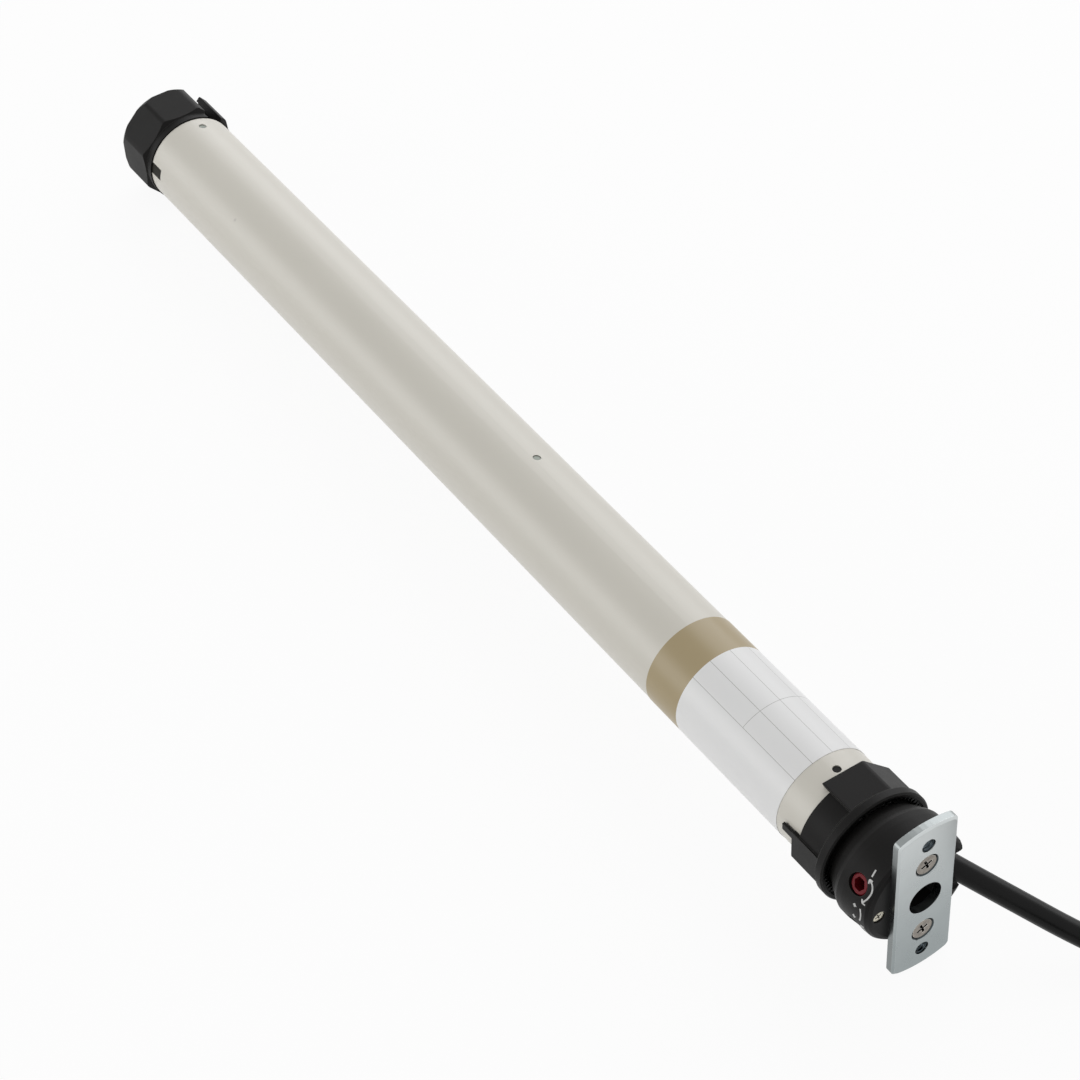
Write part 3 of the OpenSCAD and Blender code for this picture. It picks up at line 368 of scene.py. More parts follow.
def strap_tree():
    """Geometry nodes: a strap along a closed line in XY, with teeth across it."""
    tree, source = open_tree(
        "strap_with_teeth", ("Strap width", 0.005), ("Strap thickness", 0.001),
        ("Tooth spacing", 0.0012), ("Tooth height", 0.0002),
    )
    n, link = tree.nodes, tree.links.new
    loop, upright = n.new("GeometryNodeMeshToCurve"), n.new("GeometryNodeSetCurveNormal")
    upright.mode = "Z_UP"
    link(source.outputs["Geometry"], loop.inputs["Mesh"])
    link(loop.outputs["Curve"], upright.inputs["Curve"])
    section = n.new("GeometryNodeCurvePrimitiveQuadrilateral")
    strap = n.new("GeometryNodeCurveToMesh")
    link(source.outputs["Strap thickness"], section.inputs["Width"])
    link(source.outputs["Strap width"], section.inputs["Height"])
    link(upright.outputs["Curve"], strap.inputs["Curve"])
    link(section.outputs["Curve"], strap.inputs["Profile Curve"])
    spaced = n.new("GeometryNodeResampleCurve")
    spaced.mode = "LENGTH"
    link(upright.outputs["Curve"], spaced.inputs["Curve"])
    link(source.outputs["Tooth spacing"], spaced.inputs["Length"])
    tangent, outward = n.new("GeometryNodeInputTangent"), n.new("ShaderNodeVectorMath")
    outward.operation = "CROSS_PRODUCT"
    outward.inputs[1].default_value = (0, 0, 1)
    link(tangent.outputs[0], outward.inputs[0])
    moved, half = n.new("GeometryNodeSetPosition"), n.new("ShaderNodeVectorMath")
    half.operation = "SCALE"
    link(outward.outputs[0], half.inputs[0])
    link(math_node(tree, "MULTIPLY", source.outputs["Strap thickness"], 0.5), half.inputs["Scale"])
    link(spaced.outputs["Curve"], moved.inputs["Geometry"])
    link(half.outputs[0], moved.inputs["Offset"])
    tooth, size = n.new("GeometryNodeMeshCube"), n.new("ShaderNodeCombineXYZ")
    for axis, measure, share in (
        ("X", "Tooth spacing", 0.45), ("Y", "Tooth height", 2.0), ("Z", "Strap width", 0.72),
    ):
        link(math_node(tree, "MULTIPLY", source.outputs[measure], share), size.inputs[axis])
    link(size.outputs[0], tooth.inputs["Size"])
    along = n.new("FunctionNodeAlignRotationToVector")
    along.axis, along.pivot_axis = "X", "Z"
    link(tangent.outputs[0], along.inputs["Vector"])
    teeth, both = n.new("GeometryNodeInstanceOnPoints"), n.new("GeometryNodeJoinGeometry")
    link(moved.outputs["Geometry"], teeth.inputs["Points"])
    link(tooth.outputs["Mesh"], teeth.inputs["Instance"])
    link(along.outputs["Rotation"], teeth.inputs["Rotation"])
    link(teeth.outputs["Instances"], both.inputs[0])
    link(strap.outputs["Mesh"], both.inputs[0])
    return close_tree(tree, both.outputs[0], source)


def new_piece(name, mesh):
    """An object of that name in the scene."""
    made = bpy.data.objects.new(name, mesh)
    scene.collection.objects.link(made)
    return made


def grow(name, tree, base, place=Matrix(), **values):
    """Runs a tree on a base mesh and keeps the result as a plain mesh in its place."""
    made = new_piece(name, base)
    modifier = made.modifiers.new(tree.name, "NODES")
    modifier.node_group = tree
    for item in tree.interface.items_tree:
        key = item.name.replace(" ", "_")
        if item.item_type == "SOCKET" and item.in_out == "INPUT" and key in values:
            modifier[item.identifier] = values[key]
    bpy.context.view_layer.update()
    ready = made.evaluated_get(bpy.context.evaluated_depsgraph_get())
    plain = bpy.data.meshes.new_from_object(ready)
    made.modifiers.clear()
    made.data = plain
    plain.transform(place)
    return made


def corner(x, z, first):
    """Points round a quarter of the strap's path, from an angle in degrees."""
    for k in range(6):
        a = math.radians(first + 18 * k)
        yield (x + strap_corner * math.cos(a), z + strap_corner * math.sin(a), 0.0)


loop_points = [
    *corner(strap_out - strap_corner, strap_low + strap_corner, -90),
    *corner(strap_out - strap_corner, strap_high - strap_corner, 0),
    *corner(strap_in + strap_corner, strap_high - strap_corner, 90),
    *corner(strap_in + strap_corner, strap_low + strap_corner, 180),
]
loop_mesh = bpy.data.meshes.new("tie_path")
count = len(loop_points)
loop_mesh.from_pydata(loop_points, [(i, (i + 1) % count) for i in range(count)], [])
nylon = finish(
    "tie_nylon", (0.60, 0.60, 0.58), 0.38, Edge_radius=0.0002, Edge_wear=0.3,
    Edge_color=(0.7, 0.7, 0.69), Grain_per_metre=1800, Grain_strength=0.08,
)
round_coil = Matrix.Rotation(math.radians(300), 4, "Z")
tie_place = on_surface @ round_coil @ Matrix.Rotation(math.radians(90), 4, "X")
coil_tie = grow(
    "coil_tie_strap", strap_tree(), loop_mesh, tie_place, Strap_width=strap_w,
    Strap_thickness=strap_t, Tooth_spacing=tooth_pitch, Tooth_height=tooth_h, Material=nylon,
)


def rounded_block(name, low, high, edge, material, place=Matrix()):
    """A moulded block between two corners, with rounded edges."""
    work = bmesh.new()
    bmesh.ops.create_cube(work, size=1.0)
    low, high = Vector(low), Vector(high)
    for v in work.verts:
        v.co = (low + high) / 2 + Vector(a * b for a, b in zip(v.co, high - low))
    bmesh.ops.bevel(work, geom=work.edges[:], offset=edge, segments=3, profile=0.5, affect="EDGES")
    work.transform(place)
    mesh = bpy.data.meshes.new(name)
    work.to_mesh(mesh)
    work.free()
    mesh.materials.append(material)
    return new_piece(name, mesh)


lock_rise, lock_wall, lock_edge = 0.009, 0.0008, 0.0005
lock_proud, lock_len, lock_sunk = 0.0034, 0.005, 0.0002
lock_x, lock_z = strap_out + strap_t / 2, strap_low + strap_t / 2 + lock_rise
lock_side = strap_w / 2 + lock_wall
coil_tie_lock = rounded_block(
    "coil_tie_lock", (lock_x - lock_sunk, lock_z, -lock_side),
    (lock_x + lock_proud, lock_z + lock_len, lock_side), lock_edge, nylon, tie_place,
)
for piece in (coil_tie, coil_tie_lock):
    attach(piece, "motor")
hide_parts("coil_tie")

# Tube: drawn steel tube with a baked cream powder coating, a little orange
# peel in it. It is pierced for rivets, notched for the end cap's keys, and a
# punched dimple marks its far half, drawn in colour only: a greyer spot with
# a ring of painted shade round it.
cream = (0.598, 0.575, 0.512)
TUBE_R, PUNCH_R, DIMPLE_SHADE_R, DIMPLE_SHADE_SHARE = 0.0175, 0.00055, 0.00095, 0.10
dimple_angle = math.radians(134)
DIMPLE = (-0.386, TUBE_R * math.cos(dimple_angle), TUBE_R * math.sin(dimple_angle))
powder = finish(
    "cream_powder_coat", cream, 0.40, Edge_radius=0.00015, Edge_wear=0.35,
    Edge_color=(0.66, 0.64, 0.58), Grain_per_metre=1400, Grain_strength=0.07,
    Blotch_per_metre=18, Shade_change=0.05, Roughness_change=0.10,
)
tree = powder.node_tree
shader = tree.nodes["Principled BSDF"]
shader.inputs["Coat Weight"].default_value = 0.35
shader.inputs["Coat Roughness"].default_value = 0.35
place, away = tree.nodes.new("ShaderNodeTexCoord"), tree.nodes.new("ShaderNodeVectorMath")
away.operation = "DISTANCE"
away.inputs[1].default_value = DIMPLE
tree.links.new(place.outputs["Object"], away.inputs[0])
# Painted shade: the ring round the dimple is darkened as its hollow's shade.
punched = math_node(tree, "LESS_THAN", away.outputs["Value"], PUNCH_R)
dimple_shade_ring = math_node(tree, "LESS_THAN", away.outputs["Value"], DIMPLE_SHADE_R)
coat = mix_colors(tree, math_node(tree, "MULTIPLY", dimple_shade_ring, DIMPLE_SHADE_SHARE), cream, (0.36, 0.34, 0.31))
coat = mix_colors(tree, punched, coat, (0.49, 0.465, 0.42))
recolor(tree, coat)
dress_nodes(powder, "tube")

# Rivets: grey zinc plated steel pins, pressed into the tube's pierced holes
# until they sit just under its surface.
rivet_zinc = finish(
    "rivet_zinc", (0.175, 0.19, 0.17), 0.48, metallic=0.8, Edge_radius=0.0003, Edge_wear=0.5,
    Edge_color=(0.5, 0.5, 0.48), Grain_per_metre=5000, Grain_strength=0.25, Blotch_per_metre=500,
    Shade_change=0.4,
)
dress_nodes(rivet_zinc, "fixing_rivets")

# Label: a thin printed film wrapped round the tube and glued on. A tan band
# at its far end, and a pale panel with a fine grey grid; its fields are bare.
BAND_NEAR, CROSS_X = -0.1013, -0.0755
LINE_ANGLES = [math.radians(degrees) for degrees in (128.0, 103.9, 79.2, 54.5)]
LINE_HALF, LINE_HALF_ANGLE, CROSS_END = 0.00009, 0.0050, 0.2
film_white, grid_grey, band_tan = (0.77, 0.77, 0.765), (0.40, 0.395, 0.38), (0.362, 0.287, 0.160)
film = finish(
    "label_film", film_white, 0.34, Grain_per_metre=900, Grain_strength=0.03,
    Blotch_per_metre=40, Shade_change=0.03, Roughness_change=0.10,
)


def object_xyz(tree):
    """X, Y and Z of the place on the piece, as a material reads it."""
    place = tree.nodes.new("ShaderNodeTexCoord")
    split = tree.nodes.new("ShaderNodeSeparateXYZ")
    tree.links.new(place.outputs["Object"], split.inputs[0])
    return split.outputs


tree = film.node_tree
x, y, z = object_xyz(tree)
angle = math_node(tree, "ARCTAN2", z, y)
lines = 0.0
for at in LINE_ANGLES:
    off = math_node(tree, "ABSOLUTE", math_node(tree, "SUBTRACT", angle, at))
    on_line = math_node(tree, "LESS_THAN", off, LINE_HALF_ANGLE)
    lines = math_node(tree, "MAXIMUM", lines, on_line)
off = math_node(tree, "ABSOLUTE", math_node(tree, "SUBTRACT", x, CROSS_X))
cross = math_node(tree, "LESS_THAN", off, LINE_HALF)
for inside in (
    math_node(tree, "LESS_THAN", angle, LINE_ANGLES[0]),
    math_node(tree, "GREATER_THAN", angle, CROSS_END),
):
    cross = math_node(tree, "MULTIPLY", cross, inside)
lines = math_node(tree, "MAXIMUM", lines, cross)
panel = mix_colors(tree, lines, film_white, grid_grey)
band = math_node(tree, "LESS_THAN", x, BAND_NEAR)
recolor(tree, mix_colors(tree, band, panel, band_tan))
dress_nodes(film, "rating_label")

# Mounting plate: stamped 3 mm steel, zinc plated with a bluish cast. Two
# screws hold it on the head, and the bracket's screws go in its threads.
SCREW_PITCH, TAP_PITCH = 0.030, 0.048
COUNTERSINK_R, TAP_WALL_R, FACE_SKIN = 0.0046, 0.0029, 0.0002
SHADE_FALL_SPAN, SHADE_FALL_CURVE, SIDE_SHADE_FACING, SIDE_SHADE_SHARE = 0.066, 1.7, 0.3, 0.8
zinc = finish(
    "blued_zinc", (0.42, 0.455, 0.46), 0.30, metallic=1.0, Edge_radius=0.00025, Edge_wear=0.55,
    Edge_color=(0.74, 0.78, 0.78), Grain_per_metre=900, Grain_strength=0.12, Blotch_per_metre=140,
    Shade_change=0.25, Roughness_change=0.22,
)


def near_axis(tree, y, z, reach):
    """1 where the two offsets from an axis along X are within its reach."""
    squares = [math_node(tree, "MULTIPLY", off, off) for off in (y, z)]
    return math_node(tree, "LESS_THAN", math_node(tree, "ADD", *squares), reach**2)


def across_pair(tree, z, apart):
    """The offset in Z from the nearer of two axes that stand apart in Z."""
    return math_node(tree, "SUBTRACT", math_node(tree, "ABSOLUTE", z), apart / 2)


tree = zinc.node_tree
x, y, z = object_xyz(tree)
# Painted shade: the plate darkens towards its bottom, standing in for the shaded table it reflects
# there.
along = math_node(tree, "MULTIPLY_ADD", z, 1 / SHADE_FALL_SPAN, 0.5)
plate_tone_with_shade = math_node(tree, "POWER", along, SHADE_FALL_CURVE)
plate_tone_with_shade = mix_colors(tree, plate_tone_with_shade, (0.30, 0.335, 0.34), (0.60, 0.63, 0.63))
# Painted shade: the plate's edge faces, across its thickness, are darkened.
side, facing = tree.nodes.new("ShaderNodeTexCoord"), tree.nodes.new("ShaderNodeSeparateXYZ")
tree.links.new(side.outputs["Normal"], facing.inputs[0])
side_shade = math_node(tree, "ABSOLUTE", facing.outputs["X"])
side_shade = math_node(tree, "LESS_THAN", side_shade, SIDE_SHADE_FACING)
side_shade = math_node(tree, "MULTIPLY", side_shade, SIDE_SHADE_SHARE)
plate_tone_with_shade = mix_colors(tree, side_shade, plate_tone_with_shade, (0.17, 0.185, 0.185))
# Painted shade: the walls of the countersinks and tapped holes, below the face, are darkened.
hole_wall_shade = 0.0
for pitch, reach in ((SCREW_PITCH, COUNTERSINK_R), (TAP_PITCH, TAP_WALL_R)):
    wall = near_axis(tree, across_pair(tree, z, pitch), y, reach)
    hole_wall_shade = math_node(tree, "MAXIMUM", hole_wall_shade, wall)
below = math_node(tree, "LESS_THAN", x, -FACE_SKIN)
hole_wall_shade = math_node(tree, "MULTIPLY", hole_wall_shade, below)
plate_tone_with_shade = mix_colors(tree, hole_wall_shade, plate_tone_with_shade, (0.055, 0.065, 0.070))
recolor(tree, plate_tone_with_shade)
dress_nodes(zinc, "mounting_plate")
TAP_D, THREAD_PITCH, THREAD_RIDGE, THREAD_INSET = 0.005, 0.001, 0.00032, 0.0003


def round_wire(tree, path, radius, sides, capped):
    """A round wire along a curve, as a mesh."""
    n, link = tree.nodes, tree.links.new
    section, wire = n.new("GeometryNodeCurvePrimitiveCircle"), n.new("GeometryNodeCurveToMesh")
    section.inputs["Resolution"].default_value = sides
    wire.inputs["Fill Caps"].default_value = capped
    link(radius, section.inputs["Radius"])
    link(path, wire.inputs["Curve"])
    link(section.outputs["Curve"], wire.inputs["Profile Curve"])
    return wire.outputs["Mesh"]


def two_apart(tree, mesh, spacing):
    """Two instances of a mesh, spaced along X about the middle."""
    n, link = tree.nodes, tree.links.new
    places, placed = n.new("GeometryNodeMeshLine"), n.new("GeometryNodeInstanceOnPoints")
    places.inputs["Count"].default_value = 2
    for share, socket in ((-0.5, "Start Location"), (1.0, "Offset")):
        step = n.new("ShaderNodeCombineXYZ")
        link(math_node(tree, "MULTIPLY", spacing, share), step.inputs["X"])
        link(step.outputs[0], places.inputs[socket])
    link(places.outputs["Mesh"], placed.inputs["Points"])
    link(mesh, placed.inputs["Instance"])
    return placed.outputs["Instances"]


def thread_tree():
    """Geometry nodes: a screw thread's ridge wound up the wall of each hole."""
    tree, source = open_tree(
        "thread_in_holes", ("Hole diameter", 0.005), ("Thread pitch", 0.001),
        ("Thread length", 0.003), ("Ridge size", 0.0003), ("Hole spacing", 0.048),
    )
    link = tree.links.new
    length, pitch = source.outputs["Thread length"], source.outputs["Thread pitch"]
    radius = math_node(tree, "MULTIPLY", source.outputs["Hole diameter"], 0.5)
    turns = math_node(tree, "DIVIDE", length, pitch)
    wound = tree.nodes.new("GeometryNodeCurveSpiral")
    wound.inputs["Resolution"].default_value = 40
    for socket, value in (
        ("Rotations", turns), ("Start Radius", radius), ("End Radius", radius), ("Height", length),
    ):
        link(value, wound.inputs[socket])
    ridge = round_wire(tree, wound.outputs["Curve"], source.outputs["Ridge size"], 4, True)
    return close_tree(tree, two_apart(tree, ridge, source.outputs["Hole spacing"]), source)


# The threads are coloured near black as painted shade inside the tapped holes.
thread_steel = finish(
    "thread_steel", (0.070, 0.088, 0.100), 0.30, metallic=1.0, Grain_per_metre=3000,
    Grain_strength=0.1, Blotch_per_metre=500, Shade_change=0.4,
)
into_plate = Matrix.Rotation(math.radians(-90), 4, "Y")
plate_threads = grow(
    "plate_threads", thread_tree(), bpy.data.meshes.new("thread_base"),
    Matrix.Translation((-THREAD_INSET, 0, 0)) @ into_plate, Hole_diameter=TAP_D,
    Thread_pitch=THREAD_PITCH, Thread_length=PLATE_T - 2 * THREAD_INSET,
    Ridge_size=THREAD_RIDGE, Hole_spacing=TAP_PITCH, Material=thread_steel,
)
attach(plate_threads, "motor")

# Screws: zinc plated steel with countersunk heads and pressed cross recesses.
# Two hold the plate, a small one the head's cover, and one the drive wheel.
RECESS_SHADE_GAIN, RECESS_SHADE_FROM = 1800.0, 0.25


def screw_finish(name, bright, face_x, axis_y=0.0, axes_apart=0.0, reach=0.0):
    """Zinc plating, painted dark as shade down in the recess below the head's face."""
    # Its bright edges are partly wear and partly a painted highlight on the rim.
    made = finish(
        name, bright, 0.20, metallic=1.0, Edge_radius=0.00022, Edge_wear=0.85,
        Edge_color=(0.88, 0.86, 0.82), Grain_per_metre=1500, Grain_strength=0.6,
        Blotch_per_metre=700, Shade_change=1.3, Roughness_change=0.3,
    )
    tree = made.node_tree
    x, y, z = object_xyz(tree)
    sunk = math_node(tree, "ABSOLUTE", math_node(tree, "SUBTRACT", x, face_x))
    sunk = math_node(tree, "MULTIPLY_ADD", sunk, RECESS_SHADE_GAIN, -RECESS_SHADE_FROM)
    sunk = math_node(tree, "MAXIMUM", math_node(tree, "MINIMUM", sunk, 1.0), 0.0)
    off_y, off_z = math_node(tree, "SUBTRACT", y, axis_y), across_pair(tree, z, axes_apart)
    recess_shade = math_node(tree, "MULTIPLY", sunk, near_axis(tree, off_y, off_z, reach))
    shade = mix_colors(tree, recess_shade, bright, (0.035, 0.03, 0.027))
    recolor(tree, shade)
    return made


gray, straw = (0.235, 0.212, 0.185), (0.52, 0.49, 0.40)
for name, *look in (
    ("plate_screws", "plate_screw_zinc", gray, -0.0004, 0.0, SCREW_PITCH, 0.0023),
    ("cover_screw", "cover_screw_zinc", straw, -0.0034, -0.0148, 0.0026, 0.0011),
    ("wheel_screw", "wheel_screw_zinc", gray, -0.4620, 0.0, 0.0, 0.0023),
    ("wheel_washer", "washer_zinc", gray, -0.4594),
):
    dress_nodes(screw_finish(*look), name)

# Head: glass filled black polyamide, moulded with a spark eroded grain. A
# rubber ring seals its spigot in the tube, and a rubber plug holds the cord.
black, black_edge_wear_and_sheen = (0.0082, 0.0078, 0.0075), (0.090, 0.087, 0.083)
polyamide = finish(
    "black_polyamide", black, 0.44, specular=0.10, Edge_radius=0.00035, Edge_wear=0.5,
    Edge_color=black_edge_wear_and_sheen, Grain_per_metre=2600, Grain_strength=0.25, Blotch_per_metre=120,
    Shade_change=0.5, Roughness_change=0.18,
)
dress_nodes(polyamide, "head_body", "drive_wheel", "upper_switch", "lower_switch")
soft_rubber = finish(
    "soft_rubber", (0.012, 0.012, 0.012), 0.62, specular=0.15, Edge_radius=0.0003, Edge_wear=0.2,
    Edge_color=(0.04, 0.04, 0.04), Grain_per_metre=1800, Grain_strength=0.25, Shade_change=0.3,
)
dress_nodes(soft_rubber, "cord_plug", "spigot_seal", "capacitor_cushions", "damping_ring")

# Turning marks: plus, minus and arrows pad printed in white ink on the collar
# beside the limit adjusters, to show which way to turn each of them.
INK_W, INK_T, MM_PER_DEGREE = 0.00052, 0.00004, 0.345
collar_x = (-0.0166, -0.0142, -0.0070, -0.0045, -0.0035)
collar_r = (0.0202, 0.0202, 0.0197, 0.0194, 0.0187)


def on_collar(x, degrees, proud):
    """A point on the collar's outside, at a place along it and an angle."""
    k = max(i for i in range(4) if collar_x[i] <= x or i == 0)
    share = (x - collar_x[k]) / (collar_x[k + 1] - collar_x[k])
    r = collar_r[k] + (collar_r[k + 1] - collar_r[k]) * share + proud
    a = math.radians(degrees)
    return Vector((x, r * math.cos(a), r * math.sin(a)))


def ink_stroke(work, marks):
    """A stroke of ink through marks (x in mm, angle), closed and square ended."""
    flat = smooth_line([Vector((x, MM_PER_DEGREE * a, 0)) for x, a in marks], 6)
    rings = []
    for i, p in enumerate(flat):
        step = (flat[min(i + 1, len(flat) - 1)] - flat[max(i - 1, 0)]).normalized()
        side = Vector((-step.y, step.x, 0)) * INK_W / 2 * 1000
        corners = ((-side, -INK_T), (side, -INK_T), (side, INK_T), (-side, INK_T))
        rings.append([
            work.verts.new(on_collar((p + q).x / 1000, (p + q).y / MM_PER_DEGREE, proud))
            for q, proud in corners
        ])
    for a, b in zip(rings, rings[1:]):
        for k in range(4):
            work.faces.new((a[k], a[(k + 1) % 4], b[(k + 1) % 4], b[k]))
    work.faces.new(rings[0][::-1])
    work.faces.new(rings[-1])


ink_marks = bmesh.new()
for stroke in (
    [(-7.3, 138.2), (-7.6, 131.3)],
    [(-7.3, 141.4), (-5.6, 144.0), (-4.7, 149.4), (-5.0, 156.8), (-6.2, 164.2)],
    [(-6.2, 141.0), (-7.3, 141.4), (-7.0, 144.8)],
    [(-5.0, 164.4), (-6.2, 164.2), (-6.6, 160.8)],
    [(-8.6, 171.0), (-8.6, 175.0)],
    [(-9.3, 173.0), (-7.9, 173.0)],
    [(-6.3, 171.8), (-5.9, 177.0), (-5.9, 183.0), (-6.4, 188.2)],
    [(-8.7, 185.6), (-8.7, 190.6)],
    [(-9.4, 188.1), (-8.0, 188.1)],
    [(-7.3, 218.6), (-5.6, 216.0), (-4.7, 210.6), (-5.0, 203.2), (-6.2, 195.8)],
    [(-6.2, 219.0), (-7.3, 218.6), (-7.0, 215.2)],
    [(-5.0, 195.6), (-6.2, 195.8), (-6.6, 199.2)],
    [(-7.3, 221.8), (-7.6, 228.7)],
):
    ink_stroke(ink_marks, stroke)
bmesh.ops.recalc_face_normals(ink_marks, faces=ink_marks.faces[:])
ink_mesh = bpy.data.meshes.new("turning_marks")
ink_marks.to_mesh(ink_mesh)
ink_marks.free()
ink = finish(
    "white_ink", (0.50, 0.50, 0.49), 0.5, Grain_per_metre=2600, Grain_strength=0.3,
    Blotch_per_metre=900, Shade_change=0.9,
)
turning_marks = new_piece("turning_marks", ink_mesh)
dress(turning_marks, ink)
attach(turning_marks, "motor")

# Limit adjusters: moulded acetal with hexagon sockets, red for one direction
# and white for the other. They snap into the collar's side.
red = finish(
    "red_acetal", (0.135, 0.004, 0.009), 0.36, specular=0.2, Edge_radius=0.0003, Edge_wear=0.5,
    Edge_color=(0.36, 0.05, 0.06), Grain_per_metre=2000, Grain_strength=0.12, Shade_change=0.2,
)
dress_nodes(red, "red_adjuster")
white = finish(
    "white_acetal", (0.66, 0.65, 0.61), 0.34, Edge_radius=0.0003, Edge_wear=0.3,
    Edge_color=(0.74, 0.73, 0.70), Grain_per_metre=2000, Grain_strength=0.10, Shade_change=0.1,
)
dress_nodes(white, "white_adjuster")

# Crown and drive wheel: the same black polyamide as the head. The crown turns
# freely on the neck and counts for the limits; the wheel is keyed to the
# output shaft and drives the winding shaft by its eight flats. Inside the crown,
# over its teeth, the black is painted darker still as shade.
TEETH_BACK, TEETH_R = -0.0272, 0.0193
crown_with_shade = polyamide.copy()
crown_with_shade.name = "greased_polyamide"
tree = crown_with_shade.node_tree
x, y, z = object_xyz(tree)
# Painted shade over the crown's inner teeth.
inside = near_axis(tree, y, z, TEETH_R)
inside = math_node(tree, "MULTIPLY", inside, math_node(tree, "GREATER_THAN", x, TEETH_BACK))
for socket, color in (("Color", black), ("Edge color", black_edge_wear_and_sheen)):
    recolor(tree, mix_colors(tree, inside, color, (0.002, 0.002, 0.002)), socket)
dress_nodes(crown_with_shade, "crown")

# End cap: moulded in a duller olive black, and pinned in the tube's far end by
# rivets. Its keys fill the tube's notches.
olive = finish(
    "olive_polyamide", (0.0125, 0.0118, 0.0080), 0.50, specular=0.10, Edge_radius=0.0003,
    Edge_wear=0.3, Edge_color=(0.05, 0.048, 0.04), Grain_strength=0.3, Shade_change=0.4,
)
dress_nodes(olive, "end_cap")

# Limit unit: a moulded frame with two threaded spindles that the crown's inner
# teeth turn. Each carries an acetal nut along the rails to a microswitch.
frame_grey = finish(
    "frame_grey", (0.055, 0.065, 0.075), 0.48, specular=0.4, Edge_radius=0.0002, Edge_wear=0.4,
    Edge_color=(0.12, 0.13, 0.14), Grain_per_metre=2200, Grain_strength=0.2, Shade_change=0.25,
)
dress_nodes(frame_grey, "limit_frame", "gearbox_cover")


def rib(material, pitch, strength, height):
    """Adds rings about the X axis to a finish, at a pitch, as a bump."""
    tree = material.node_tree
    place, wave = tree.nodes.new("ShaderNodeTexCoord"), tree.nodes.new("ShaderNodeTexWave")
    wave.bands_direction = "X"
    wave.inputs["Scale"].default_value = 2 * math.pi / (20 * pitch)
    tree.links.new(place.outputs["Object"], wave.inputs["Vector"])
    bump = tree.nodes.new("ShaderNodeBump")
    bump.inputs["Strength"].default_value = strength
    bump.inputs["Distance"].default_value = height
    tree.links.new(wave.outputs["Fac"], bump.inputs["Height"])
    tree.links.new(tree.nodes["surface"].outputs["Normal"], bump.inputs["Normal"])
    tree.links.new(bump.outputs["Normal"], tree.nodes["Principled BSDF"].inputs["Normal"])


brass_tone, brass_edge_wear_and_sheen, PINION_BACK = (0.60, 0.43, 0.19), (0.8, 0.62, 0.32), -0.0275
brass = finish(
    "turned_brass", brass_tone, 0.28, metallic=1.0, Edge_radius=0.0001, Edge_wear=0.4,
    Edge_color=brass_edge_wear_and_sheen, Grain_per_metre=3500, Grain_strength=0.15, Shade_change=0.2,
)
rib(brass, 0.001, 0.8, 0.0003)
tree = brass.node_tree
moulded = math_node(tree, "GREATER_THAN", object_xyz(tree)["X"], PINION_BACK)
for socket, bare, pinion in (
    ("Color", brass_tone, (0.012, 0.012, 0.012)), ("Edge color", brass_edge_wear_and_sheen, (0.03, 0.03, 0.03)),
):
    recolor(tree, mix_colors(tree, moulded, bare, pinion), socket)
metal = math_node(tree, "SUBTRACT", 1.0, moulded)
tree.links.new(metal, tree.nodes["Principled BSDF"].inputs["Metallic"])
acetal = finish(
    "cream_acetal", (0.58, 0.53, 0.41), 0.40, Edge_radius=0.0003, Edge_wear=0.3,
    Edge_color=(0.68, 0.64, 0.54), Grain_per_metre=1800, Grain_strength=0.1, Shade_change=0.1,
)
dress_nodes(brass, "upper_spindle", "lower_spindle")
dress_nodes(acetal, "upper_nut", "lower_nut")

# Run capacitor: a plastic can potted in resin, held by two rubber cushions
# that keep it from rattling in the tube.
capacitor_case = finish(
    "capacitor_case", (0.62, 0.60, 0.54), 0.36, Edge_radius=0.0006, Edge_wear=0.3,
    Edge_color=(0.72, 0.70, 0.65), Grain_per_metre=1200, Grain_strength=0.08, Blotch_per_metre=40,
    Shade_change=0.12,
)
dress_nodes(capacitor_case, "run_capacitor")

# Motor: die cast end shields with sintered bronze bushes, and stacks of punched
# half millimetre sheets for stator and rotor on a ground steel shaft.
cast_alloy = finish(
    "cast_alloy", (0.37, 0.38, 0.39), 0.46, metallic=1.0, Edge_radius=0.0003, Edge_wear=0.6,
    Edge_color=(0.7, 0.71, 0.72), Grain_per_metre=1500, Grain_strength=0.5, Blotch_per_metre=200,
    Shade_change=0.3, Roughness_change=0.2,
)
sheet_steel = finish(
    "stacked_sheets", (0.22, 0.23, 0.245), 0.42, metallic=1.0, Edge_radius=0.0001, Edge_wear=0.4,
    Edge_color=(0.5, 0.5, 0.5), Grain_per_metre=3000, Grain_strength=0.15, Blotch_per_metre=300,
    Shade_change=0.4,
)
rib(sheet_steel, 0.0005, 0.6, 0.00012)
ground_steel = finish(
    "ground_steel", (0.40, 0.41, 0.42), 0.24, metallic=1.0, Edge_radius=0.0002, Edge_wear=0.6,
    Edge_color=(0.66, 0.66, 0.66), Grain_per_metre=4000, Grain_strength=0.08, Blotch_per_metre=200,
    Shade_change=0.15,
)
bronze = finish(
    "sintered_bronze", (0.42, 0.27, 0.12), 0.44, metallic=1.0, Edge_radius=0.0002, Edge_wear=0.5,
    Edge_color=(0.62, 0.44, 0.24), Grain_per_metre=7000, Grain_strength=0.5, Shade_change=0.3,
)
copper = finish(
    "enamelled_copper", (0.46, 0.15, 0.05), 0.26, metallic=1.0, Edge_radius=0.0003, Edge_wear=0.4,
    Edge_color=(0.66, 0.30, 0.14), Grain_per_metre=2500, Grain_strength=0.15, Blotch_per_metre=350,
    Shade_change=0.5,
)
dress_nodes(cast_alloy, "front_shield", "rear_shield", "brake_housing")
dress_nodes(sheet_steel, "stator_core", "rotor_core")
dress_nodes(
    ground_steel, "rotor_shaft", "brake_armature", "brake_spring", "carrier_1", "carrier_2",
    "output_carrier",
)
dress_nodes(bronze, "shaft_bushes", "output_bush")
dress_nodes(copper, "stator_windings")

